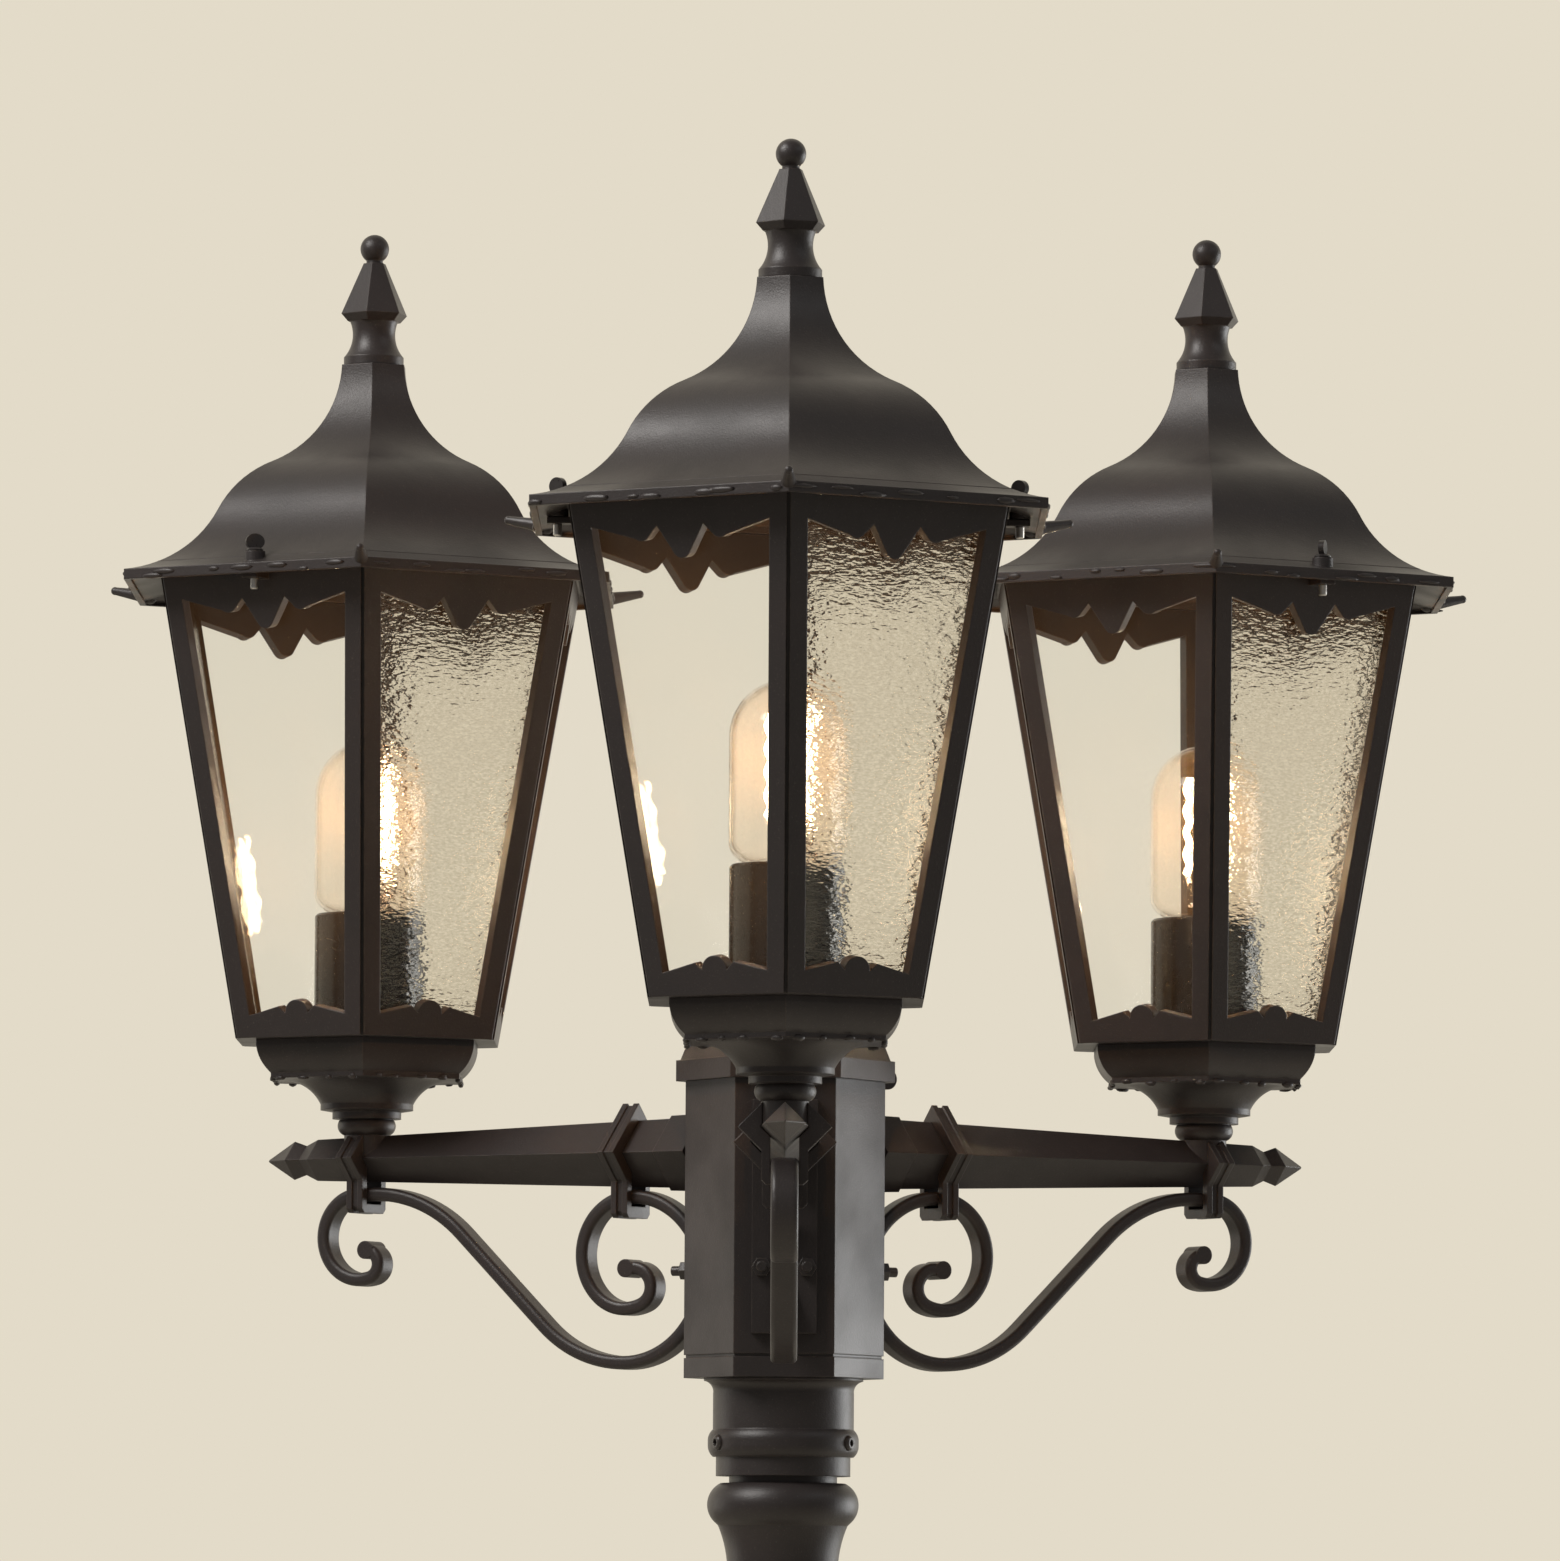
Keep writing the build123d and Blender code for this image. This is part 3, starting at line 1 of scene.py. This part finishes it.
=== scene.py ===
"""Triple head lamp post: camera, light, materials, and the pieces dressed over the CAD frame."""

import math
import random

import bmesh
import bpy
from mathutils import Matrix, Vector, noise


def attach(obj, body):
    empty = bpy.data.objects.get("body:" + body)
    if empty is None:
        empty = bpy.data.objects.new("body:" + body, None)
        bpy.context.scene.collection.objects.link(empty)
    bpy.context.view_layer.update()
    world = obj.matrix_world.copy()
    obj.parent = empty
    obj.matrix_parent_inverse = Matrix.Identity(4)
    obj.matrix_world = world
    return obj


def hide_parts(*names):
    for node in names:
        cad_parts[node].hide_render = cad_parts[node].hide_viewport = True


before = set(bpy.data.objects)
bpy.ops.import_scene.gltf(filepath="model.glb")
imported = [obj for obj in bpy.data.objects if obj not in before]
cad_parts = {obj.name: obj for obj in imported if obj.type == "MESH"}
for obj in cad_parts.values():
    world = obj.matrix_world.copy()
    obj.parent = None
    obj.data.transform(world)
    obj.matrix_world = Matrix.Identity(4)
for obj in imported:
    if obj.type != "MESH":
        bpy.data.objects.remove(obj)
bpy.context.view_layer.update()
bpy.context.scene.view_settings.view_transform = "Standard"

# ------------------------------------------------------------------ layout, metres and degrees
arms = {"front": -90, "left": 150, "right": 30}
arm_reach = 0.198
holder_top = 1.91871
filament_radius = 0.007  # axis of the bulb to a strand
filament_wire = 0.0015
filament_low = 0.0185  # above the holder
filament_high = 0.0585
filament_steps = 32
filament_sway = 0.0007
filament_twist = 9  # degrees
mount_sides = 24
glow_rise = 0.038  # the glow's lamp above the holder
cup_edge_z = 1.85051
cup_edge_corner = 0.0444  # axis to corner
cup_bead_inset = 0.0007
cup_beads = 4  # along each side
eave_foot_z = 2.05081
eave_corner = 0.1138
eave_thickness = 0.0042
eave_lumps = 7  # along each side
pane_grid = 0.0013
pane_dent = 0.0003
floor_radius = 7


def lantern_axis(arm):
    turn = math.radians(arms[arm])
    return Vector((arm_reach * math.cos(turn), arm_reach * math.sin(turn), 0))


def heading(degrees):
    turn = math.radians(degrees)
    return Vector((math.cos(turn), math.sin(turn), 0))


# ------------------------------------------------------------------ camera
camera_data = bpy.data.cameras.new("camera")
camera_data.sensor_fit = "HORIZONTAL"
camera_data.sensor_width = 36
camera_data.lens = 255.6
camera_data.clip_start = 0.05
camera_data.clip_end = 100
camera = bpy.data.objects.new("camera", camera_data)
bpy.context.scene.collection.objects.link(camera)
yaw, pitch, roll = math.radians(0.064), math.radians(4.56), math.radians(0.36)
level = Vector((math.cos(yaw), math.sin(yaw), 0))
ahead = Vector((-math.sin(yaw), math.cos(yaw), 0)) * math.cos(pitch) + Vector((0, 0, math.sin(pitch)))
over = level.cross(ahead)
side = level * math.cos(roll) + over * math.sin(roll)
top = over * math.cos(roll) - level * math.sin(roll)
camera.matrix_world = Matrix.Translation((0.002, -4.435, 1.6133)) @ Matrix(
    (side, top, -ahead)
).transposed().to_4x4()
bpy.context.scene.camera = camera


# ------------------------------------------------------------------ node helpers
def linear(red, green, blue):
    """An sRGB colour, 0-255, as a shader colour."""
    shares = (red / 255, green / 255, blue / 255)
    return tuple(c / 12.92 if c <= 0.04045 else ((c + 0.055) / 1.055) ** 2.4 for c in shares) + (1,)


class Graph:
    """A node tree, with a short way to add and link nodes."""

    def __init__(self, tree):
        self.tree = tree
        tree.nodes.clear()

    def add(self, kind, inputs=None, **settings):
        node = self.tree.nodes.new("ShaderNode" + kind)
        for name, value in settings.items():
            setattr(node, name, value)
        for key, value in (inputs or {}).items():
            socket = node.inputs[key]
            if isinstance(value, bpy.types.NodeSocket):
                self.tree.links.new(value, socket)
            else:
                socket.default_value = value
        return node

    def noise(self, coords, scale, detail=3, roughness=0.5):
        inputs = {"Vector": coords, "Scale": scale, "Detail": detail, "Roughness": roughness}
        return self.add("TexNoise", inputs)

    def ramp(self, value, low, high, to_low=0.0, to_high=1.0):
        return self.add(
            "MapRange",
            {"Value": value, "From Min": low, "From Max": high, "To Min": to_low, "To Max": to_high},
        ).outputs["Result"]

    def mix(self, factor, a, b):
        node = self.add("Mix", data_type="RGBA")
        for socket, value in ((node.inputs[0], factor), (node.inputs[6], a), (node.inputs[7], b)):
            if isinstance(value, bpy.types.NodeSocket):
                self.tree.links.new(value, socket)
            else:
                socket.default_value = value
        return node.outputs[2]

    def math(self, operation, a, b=0.0):
        return self.add("Math", {0: a, 1: b}, operation=operation).outputs[0]

    def shaders(self, factor, a, b):
        return self.add("MixShader", {0: factor, 1: a, 2: b}).outputs[0]

    def surface(self, shader):
        self.add("OutputMaterial", {"Surface": shader})


def material(name):
    made = bpy.data.materials.new(name)
    made.use_nodes = True
    return made, Graph(made.node_tree)


# ------------------------------------------------------------------ materials
def coat(name, dark, light, rough, grain):
    """Satin powder coat: fine grain, faint mottling, and edges a little lighter, partly rubbed wear and partly
    a painted highlight.
    """
    made, g = material(name)
    coords = g.add("TexCoord").outputs["Object"]
    cloud = g.noise(coords, 26, 4, 0.6).outputs["Fac"]
    fleck = g.noise(coords, 1500, 2, 0.7).outputs["Fac"]
    colour = g.mix(g.ramp(cloud, 0.35, 0.68), dark, light)
    colour = g.mix(g.ramp(fleck, 0.62, 0.78, 0, 0.35), colour, linear(116, 108, 100))
    bevel = g.add("Bevel", {"Radius": 0.0007}, samples=4)
    normal = g.add("NewGeometry").outputs["Normal"]
    edge = g.add("VectorMath", {0: bevel.outputs[0], 1: normal}, operation="DOT_PRODUCT").outputs["Value"]
    patches = g.ramp(g.noise(coords, 160, 3).outputs["Fac"], 0.36, 0.62)
    # edges lightened toward a warm tone in random patches: part wear, part painted highlight standing in for
    # warm light catching the edges
    wear_and_edge_highlight = g.math("MULTIPLY", g.ramp(edge, 0.985, 0.86), patches)
    colour = g.mix(g.math("MULTIPLY", wear_and_edge_highlight, 0.4), colour, linear(112, 98, 86))
    fine = g.noise(coords, 1300, 2, 0.65).outputs["Fac"]
    coarse = g.noise(coords, 210, 3, 0.5).outputs["Fac"]
    height = g.math("ADD", g.math("MULTIPLY", fine, grain), g.math("MULTIPLY", coarse, 0.5))
    bump = g.add(
        "Bump", {"Strength": 0.3, "Distance": 0.0004, "Height": height, "Normal": bevel.outputs[0]}
    )
    shader = g.add(
        "BsdfPrincipled",
        {
            "Base Color": colour,
            "Roughness": g.ramp(cloud, 0.3, 0.7, rough + 0.06, rough - 0.06),
            "Normal": bump.outputs[0],
            "Specular IOR Level": 0.5,
        },
    )
    g.surface(shader.outputs[0])
    return made


def steel(name, tint, rough):
    """Plated steel with fine turned marks and slight dulling."""
    made, g = material(name)
    coords = g.add("TexCoord").outputs["Object"]
    stretched = g.add("Mapping", {"Vector": coords, "Scale": (1, 1, 9)}).outputs[0]
    marks = g.noise(stretched, 620, 3, 0.6).outputs["Fac"]
    cloud = g.noise(coords, 120, 3).outputs["Fac"]
    bump = g.add("Bump", {"Strength": 0.2, "Distance": 0.0002, "Height": marks})
    shader = g.add(
        "BsdfPrincipled",
        {
            "Base Color": g.mix(g.ramp(cloud, 0.35, 0.65), tint, tuple(0.62 * c for c in tint[:3]) + (1,)),
            "Metallic": 1.0,
            "Roughness": g.ramp(marks, 0.3, 0.7, rough - 0.08, rough + 0.1),
            "Normal": bump.outputs[0],
        },
    )
    g.surface(shader.outputs[0])
    return made


def plastic(name, dark, light, rough, scale=700):
    """Moulded plastic: a faint grain and soft unevenness."""
    made, g = material(name)
    coords = g.add("TexCoord").outputs["Object"]
    cloud = g.noise(coords, 45, 3).outputs["Fac"]
    grain = g.noise(coords, scale, 3, 0.6).outputs["Fac"]
    bump = g.add("Bump", {"Strength": 0.15, "Distance": 0.0003, "Height": grain})
    shader = g.add(
        "BsdfPrincipled",
        {
            "Base Color": g.mix(g.ramp(cloud, 0.35, 0.65), dark, light),
            "Roughness": g.ramp(grain, 0.3, 0.7, rough - 0.05, rough + 0.08),
            "Normal": bump.outputs[0],
        },
    )
    g.surface(shader.outputs[0])
    return made


def thin_glass(name, tint, haze, haze_colour, wave, wave_depth):
    """Sheet glass: clear through, bright in reflection, with a film of dust that takes the light."""
    made, g = material(name)
    coords = g.add("TexCoord").outputs["Object"]
    ripple = g.noise(coords, wave, 2, 0.4).outputs["Fac"]
    bump = g.add("Bump", {"Strength": 0.4, "Distance": wave_depth, "Height": ripple}).outputs[0]
    film = g.noise(coords, 30, 4, 0.65).outputs["Fac"]
    clear = g.add("BsdfTransparent", {"Color": tint}).outputs[0]
    dust = g.add("BsdfTranslucent", {"Color": haze_colour}).outputs[0]
    body = g.shaders(g.ramp(film, 0.3, 0.7, 0.4 * haze, haze), clear, dust)
    gloss = g.add("BsdfGlossy", {"Color": (1, 1, 1, 1), "Roughness": 0.02, "Normal": bump}).outputs[0]
    facing = g.add("LayerWeight", {"Blend": 0.5, "Normal": bump}).outputs["Facing"]
    g.surface(g.shaders(g.ramp(g.math("POWER", facing, 5.0), 0, 1, 0.022, 1.0), body, gloss))
    return made


def hammered_glass(name):
    """Cast glass with a rain of small dents; light and shadow rays pass, so the inside stays lit."""
    made, g = material(name)
    coords = g.add("TexCoord").outputs["Object"]
    dashes = g.add("Mapping", {"Vector": coords, "Scale": (1, 1, 2.6)}).outputs[0]
    broad = g.noise(dashes, 250, 1, 0.5).outputs["Fac"]
    fine = g.noise(dashes, 560, 1, 0.5).outputs["Fac"]
    height = g.math("ADD", broad, g.math("MULTIPLY", fine, 0.35))
    bump = g.add("Bump", {"Strength": 0.7, "Distance": 0.0006, "Height": height}).outputs[0]
    lens = g.mix(g.ramp(fine, 0.46, 0.6), linear(246, 244, 240), linear(255, 254, 251))
    cast = g.add("BsdfGlass", {"Color": lens, "Roughness": 0.03, "IOR": 1.45, "Normal": bump})
    clear = g.add("BsdfTransparent", {"Color": linear(246, 246, 240)})
    path = g.add("LightPath")
    through = g.math("MAXIMUM", path.outputs["Is Shadow Ray"], path.outputs["Is Diffuse Ray"])
    g.surface(g.shaders(through, cast.outputs[0], clear.outputs[0]))
    return made


def thumb_screw(name, shank_z):
    """A screw under the same dark coat as the casting, bare steel below the lug that it goes through."""
    made, g = material(name)
    coords = g.add("TexCoord").outputs["Object"]
    height = g.add("SeparateXYZ", {"Vector": coords}).outputs["Z"]
    scuffs = g.noise(coords, 900, 3, 0.6).outputs["Fac"]
    level = g.math("ADD", height, g.math("MULTIPLY", scuffs, 0.0006))
    bare = g.ramp(level, shank_z, shank_z + 0.0004, 1.0, 0.0)
    shader = g.add(
        "BsdfPrincipled",
        {
            "Base Color": g.mix(bare, linear(46, 42, 41), (0.66, 0.64, 0.6, 1)),
            "Metallic": bare,
            "Roughness": g.ramp(scuffs, 0.3, 0.7, 0.26, 0.42),
        },
    )
    g.surface(shader.outputs[0])
    return made


def glowing(name, rim, core, strength):
    """Hot wire: pale at its core and orange at its rim, uneven along the coil."""
    made, g = material(name)
    coords = g.add("TexCoord").outputs["Object"]
    coil = g.noise(coords, 700, 2).outputs["Fac"]
    facing = g.add("LayerWeight", {"Blend": 0.5}).outputs["Facing"]
    power = g.math("MULTIPLY", g.ramp(facing, 0.35, 0.9, strength, 1.6), g.ramp(coil, 0.3, 0.7, 0.7, 1.2))
    shader = g.add("Emission", {"Color": g.mix(g.ramp(facing, 0.4, 0.9), core, rim), "Strength": power})
    g.surface(shader.outputs[0])
    return made


looks = {
    "coated_casting": coat("cast_coat", linear(45, 40, 39), linear(53, 47, 46), 0.42, 0.7),
    "coated_tube": coat("tube_coat", linear(45, 40, 39), linear(51, 45, 44), 0.38, 0.45),
    "bright_steel": steel("plated_steel", (0.62, 0.60, 0.56, 1), 0.28),
    "terminal_plastic": plastic("terminal_nylon", linear(214, 208, 192), linear(224, 219, 205), 0.45),
    "lead_sheath": plastic("silicone_sheath", linear(190, 186, 176), linear(204, 200, 190), 0.5),
    "clear_glass": thin_glass("sheet_glass", (0.996, 0.998, 0.992, 1), 0.006, (1.0, 0.93, 0.8, 1), 14, 0.0009),
    "textured_glass": hammered_glass("hammered_glass"),
    "holder_plastic": plastic("phenolic", linear(12, 11, 10), linear(19, 17, 16), 0.22, 420),
    "bulb_glass": thin_glass(
        "blown_glass", (0.995, 0.985, 0.965, 1), 0.005, (1.0, 0.8, 0.55, 1), 40, 0.0006
    ),
    "bulb_metal": steel("cap_brass", (0.72, 0.66, 0.5, 1), 0.32),
    "filament": glowing("hot_filament", (1.0, 0.36, 0.06, 1), (1.0, 0.84, 0.58, 1), 60),
}
dark_hardware = coat("dark_hardware", linear(40, 36, 35), linear(62, 57, 55), 0.32, 0.4)
roof_screw = thumb_screw("roof_screw", 2.0494)
for name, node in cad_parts.items():
    for held in node.material_slots:
        held.material = looks[held.material.name.split(".")[0]]
        if name in ("arm_bolts", "collar_screws", "cap_screw"):
            held.material = dark_hardware
        if name.startswith("screw_"):
            held.material = roof_screw


# ------------------------------------------------------------------ pieces
def piece(name, mesh, slot, body, *replaced):
    mesh.materials.clear()
    mesh.materials.append(looks[slot])
    made = bpy.data.objects.new(name, mesh)
    bpy.context.scene.collection.objects.link(made)
    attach(made, body)
    if replaced:
        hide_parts(*replaced)
    return made


def finished(build, name, smooth=True):
    mesh = bpy.data.meshes.new(name)
    build.to_mesh(mesh)
    build.free()
    for face in mesh.polygons:
        face.use_smooth = smooth
    return mesh


def hexagon(axis, corner, z):
    return [axis + corner * heading(30 + 60 * k) + Vector((0, 0, z)) for k in range(6)]


def lumps(spots, name):
    """Small uneven lumps of casting: (centre, along, out, half length, half height, stand)."""
    build = bmesh.new()
    for centre, along, out, length, height, stand in spots:
        made = bmesh.ops.create_icosphere(build, subdivisions=2, radius=1)
        for vertex in made["verts"]:
            x, y, z = vertex.co
            swell = 1 + 0.3 * noise.noise(vertex.co * 1.7 + centre * 900)
            level = along * x * length + out * y * stand
            vertex.co = centre + (level + Vector((0, 0, z * height))) * swell
    return finished(build, name)


dice = random.Random(7)
for arm in arms:
    axis = lantern_axis(arm)
    # uneven beads under the cup's six-sided edge
    corners = hexagon(axis, cup_edge_corner - cup_bead_inset, cup_edge_z)
    spots = []
    for k in range(6):
        start, end = corners[k], corners[(k + 1) % 6]
        along = (end - start).normalized()
        out = Vector((along.y, -along.x, 0))
        for n in range(cup_beads):
            share = (n + 0.5 + dice.uniform(-0.22, 0.22)) / cup_beads
            place = start.lerp(end, share) + Vector((0, 0, dice.uniform(-0.0008, 0.0004)))
            length, height = dice.uniform(0.0016, 0.003), dice.uniform(0.0009, 0.0015)
            spots.append((place, along, out, length, height, 0.0013))
    piece(f"cup_beads_{arm}", lumps(spots, f"cup_beads_{arm}"), "coated_casting", "head")
    # scars and lumps along the rim of the roof's eave
    corners = hexagon(axis, eave_corner, eave_foot_z + eave_thickness / 2)
    spots = []
    for k in range(6):
        start, end = corners[k], corners[(k + 1) % 6]
        along = (end - start).normalized()
        out = Vector((along.y, -along.x, 0))
        for n in range(eave_lumps):
            share = (n + 0.5 + dice.uniform(-0.35, 0.35)) / eave_lumps
            place = start.lerp(end, share) + Vector((0, 0, dice.uniform(-0.0016, 0.0008)))
            length, height = dice.uniform(0.002, 0.006), dice.uniform(0.0006, 0.0014)
            spots.append((place, along, out, length, height, 0.0008))
    piece(f"eave_lumps_{arm}", lumps(spots, f"eave_lumps_{arm}"), "coated_casting", f"roof_{arm}")

# ------------------------------------------------------------------ bulbs' inside: hot squirrel cage and mount
def tube(build, points, radius, sides=8):
    rings = []
    for n, point in enumerate(points):
        back, on = points[max(0, n - 1)], points[min(len(points) - 1, n + 1)]
        way = (on - back).normalized()
        first = way.orthogonal().normalized()
        second = way.cross(first)
        ring = []
        for k in range(sides):
            turn = 2 * math.pi * k / sides
            ring.append(build.verts.new(point + radius * (first * math.cos(turn) + second * math.sin(turn))))
        rings.append(ring)
    for low, high in zip(rings, rings[1:]):
        for k in range(sides):
            build.faces.new((low[k], low[(k + 1) % sides], high[(k + 1) % sides], high[k]))
    build.faces.new(rings[0][::-1])
    build.faces.new(rings[-1])


mount_outline = (
    (0.0108, -0.0119), (0.0082, -0.0098), (0.0056, -0.0064), (0.0036, -0.0018), (0.0025, 0.0021),
    (0.0022, 0.010), (0.0019, 0.022), (0.0019, 0.054), (0.0028, 0.0555), (0.0022, 0.0575),
)
for arm in arms:
    foot = lantern_axis(arm) + Vector((0, 0, holder_top))
    hot = bmesh.new()
    for n, turn in enumerate((0, 90, 180, 270)):
        points = []
        for count in range(filament_steps + 1):
            share = count / filament_steps
            sway = filament_sway * math.sin(9 * math.pi * share + n)
            points.append(
                foot
                + (filament_radius + sway) * heading(turn + filament_twist * math.sin(5 * math.pi * share + n))
                + Vector((0, 0, filament_low + (filament_high - filament_low) * share))
            )
        tube(hot, points, filament_wire)
    bmesh.ops.recalc_face_normals(hot, faces=hot.faces)
    wire = piece(
        f"filament_cage_{arm}", finished(hot, f"filament_cage_{arm}"), "filament", f"bulb_{arm}",
        f"bulb_filament_{arm}",
    )
    wire.visible_diffuse = False
    wire.visible_shadow = False
    mount = bmesh.new()
    rings = []
    for radius, rise in mount_outline:
        rings.append(
            [
                mount.verts.new(foot + radius * heading(360 / mount_sides * k) + Vector((0, 0, rise)))
                for k in range(mount_sides)
            ]
        )
    for low, high in zip(rings, rings[1:]):
        for k in range(mount_sides):
            after = (k + 1) % mount_sides
            mount.faces.new((low[k], low[after], high[after], high[k]))
    mount.faces.new(rings[0][::-1])
    mount.faces.new(rings[-1])
    piece(f"glass_mount_{arm}", finished(mount, f"glass_mount_{arm}"), "bulb_glass", f"bulb_{arm}")


def pane_corners(node):
    """Each pane of a node as its eight corners."""
    source = bmesh.new()
    source.from_mesh(node.data)
    bmesh.ops.remove_doubles(source, verts=source.verts, dist=1e-6)
    left = set(source.verts)
    panes = []
    while left:
        queue, island = [left.pop()], []
        while queue:
            vertex = queue.pop()
            island.append(vertex.co.copy())
            for bond in vertex.link_edges:
                other = bond.other_vert(vertex)
                if other in left:
                    left.remove(other)
                    queue.append(other)
        panes.append(island)
    source.free()
    return panes


for arm in arms:
    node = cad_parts[f"textured_panes_{arm}"]
    axis = lantern_axis(arm)
    build = bmesh.new()
    for island in pane_corners(node):
        middle = sum(island, Vector()) / len(island)
        out = (middle - axis).to_2d().to_3d().normalized()
        across = out.cross(Vector((0, 0, 1)))
        rows = {}
        for v in island:
            rows.setdefault(v.z < middle.z, []).append(v)
        grid = {}
        for low, found in rows.items():
            left_side = [v for v in found if (v - middle).dot(across) < 0]
            right_side = [v for v in found if (v - middle).dot(across) > 0]
            grid[low] = [
                (
                    max(side_points, key=lambda v: (v - middle).dot(out)),
                    min(side_points, key=lambda v: (v - middle).dot(out)),
                )
                for side_points in (left_side, right_side)
            ]
        (bl_o, bl_i), (br_o, br_i) = grid[True]
        (tl_o, tl_i), (tr_o, tr_i) = grid[False]
        normal = (br_o - bl_o).cross(tl_o - bl_o).normalized()
        if normal.dot(out) < 0:
            normal.negate()
        columns = int((tr_o - tl_o).length / pane_grid)
        lines = int((tl_o - bl_o).length / pane_grid)
        layers = []
        for outer, corners in ((True, (bl_o, br_o, tl_o, tr_o)), (False, (bl_i, br_i, tl_i, tr_i))):
            bl, br, tl, tr = corners
            layer = []
            for j in range(lines + 1):
                row = []
                for i in range(columns + 1):
                    point = bl.lerp(br, i / columns).lerp(tl.lerp(tr, i / columns), j / lines)
                    if outer and 0 < i < columns and 0 < j < lines:
                        dent = 0.5 + 0.6 * noise.noise(Vector((point.x, point.y, 2 * point.z)) * 170)
                        point = point - normal * pane_dent * max(0.0, dent)
                    row.append(build.verts.new(point))
                layer.append(row)
            layers.append(layer)
        outer, inner = layers
        for j in range(lines):
            for i in range(columns):
                build.faces.new((outer[j][i], outer[j][i + 1], outer[j + 1][i + 1], outer[j + 1][i]))
                build.faces.new((inner[j][i], inner[j + 1][i], inner[j + 1][i + 1], inner[j][i + 1]))
        for j in range(lines):
            build.faces.new((outer[j][0], outer[j + 1][0], inner[j + 1][0], inner[j][0]))
            build.faces.new((outer[j][-1], inner[j][-1], inner[j + 1][-1], outer[j + 1][-1]))
        for i in range(columns):
            build.faces.new((outer[0][i], inner[0][i], inner[0][i + 1], outer[0][i + 1]))
            build.faces.new((outer[-1][i], outer[-1][i + 1], inner[-1][i + 1], inner[-1][i]))
    bmesh.ops.recalc_face_normals(build, faces=build.faces)
    mesh = finished(build, f"hammered_panes_{arm}")
    piece(f"hammered_panes_{arm}", mesh, "textured_glass", "head", f"textured_panes_{arm}")

# ------------------------------------------------------------------ floor, world, lights
floor_build = bmesh.new()
bmesh.ops.create_circle(floor_build, cap_ends=True, segments=96, radius=floor_radius)
floor_mesh = finished(floor_build, "floor", smooth=False)
floor = bpy.data.objects.new("floor", floor_mesh)
bpy.context.scene.collection.objects.link(floor)
pale, g = material("pale_floor")
coords = g.add("TexCoord").outputs["Object"]
cloud = g.noise(coords, 1.3, 3).outputs["Fac"]
colour = g.mix(g.ramp(cloud, 0.35, 0.65), linear(222, 214, 196), linear(228, 221, 205))
g.surface(g.add("BsdfDiffuse", {"Color": colour}).outputs[0])
floor_mesh.materials.append(pale)

world = bpy.data.worlds.new("studio")
bpy.context.scene.world = world
world.use_nodes = True
g = Graph(world.node_tree)
path = g.add("LightPath")
backdrop = g.add("Background", {"Color": linear(227, 219, 201), "Strength": 1.0}).outputs[0]
fill = g.add("Background", {"Color": (1.0, 0.96, 0.92, 1), "Strength": 0.31}).outputs[0]
dim = g.add("Background", {"Color": (1.0, 0.96, 0.92, 1), "Strength": 0.14}).outputs[0]
# mirrored light: the pale backdrop behind the lamp, the dim room in front of it
behind = g.add("SeparateXYZ", {"Vector": g.add("TexCoord").outputs["Generated"]}).outputs["Y"]
mirrored = g.shaders(g.ramp(behind, 0.1, 0.5), dim, backdrop)
lit = g.shaders(path.outputs["Is Glossy Ray"], fill, mirrored)
seen = g.math("MAXIMUM", path.outputs["Is Camera Ray"], path.outputs["Is Transmission Ray"])
g.add("OutputWorld", {"Surface": g.shaders(seen, lit, backdrop)})


def panel(name, place, aim, size, power, colour):
    data = bpy.data.lights.new(name, "AREA")
    data.shape = "RECTANGLE"
    data.size, data.size_y = size
    data.energy = power
    data.color = colour
    lamp = bpy.data.objects.new(name, data)
    bpy.context.scene.collection.objects.link(lamp)
    lamp.location = place
    lamp.rotation_euler = (Vector(aim) - Vector(place)).to_track_quat("-Z", "Y").to_euler()
    lamp.visible_camera = False
    lamp.visible_transmission = False
    return lamp


panel("key", (-1.7, -0.9, 3.6), (-0.15, 0, 1.95), (1.2, 1.2), 51, (1.0, 0.97, 0.94))
panel("side", (3.2, 1.85, 1.6), (0, 0, 1.8), (1.9, 1.9), 54, (0.96, 0.98, 1.0))
panel("edge", (-2.5, 1.1, 1.8), (0, 0, 1.75), (0.9, 1.6), 3.5, (1.0, 0.98, 0.96))
panel("glint", (2.3, -1.3, 3.8), (0, 0, 1.95), (2.6, 0.16), 5, (0.94, 0.97, 1.0))

for arm in arms:
    data = bpy.data.lights.new(f"glow_{arm}", "POINT")
    data.energy = 1.0
    data.color = (1.0, 0.50, 0.17)
    data.shadow_soft_size = 0.006
    glow = bpy.data.objects.new(f"glow_{arm}", data)
    bpy.context.scene.collection.objects.link(glow)
    glow.location = lantern_axis(arm) + Vector((0, 0, holder_top + glow_rise))
    glow.visible_camera = False
    glow.visible_glossy = False
    glow.visible_transmission = False
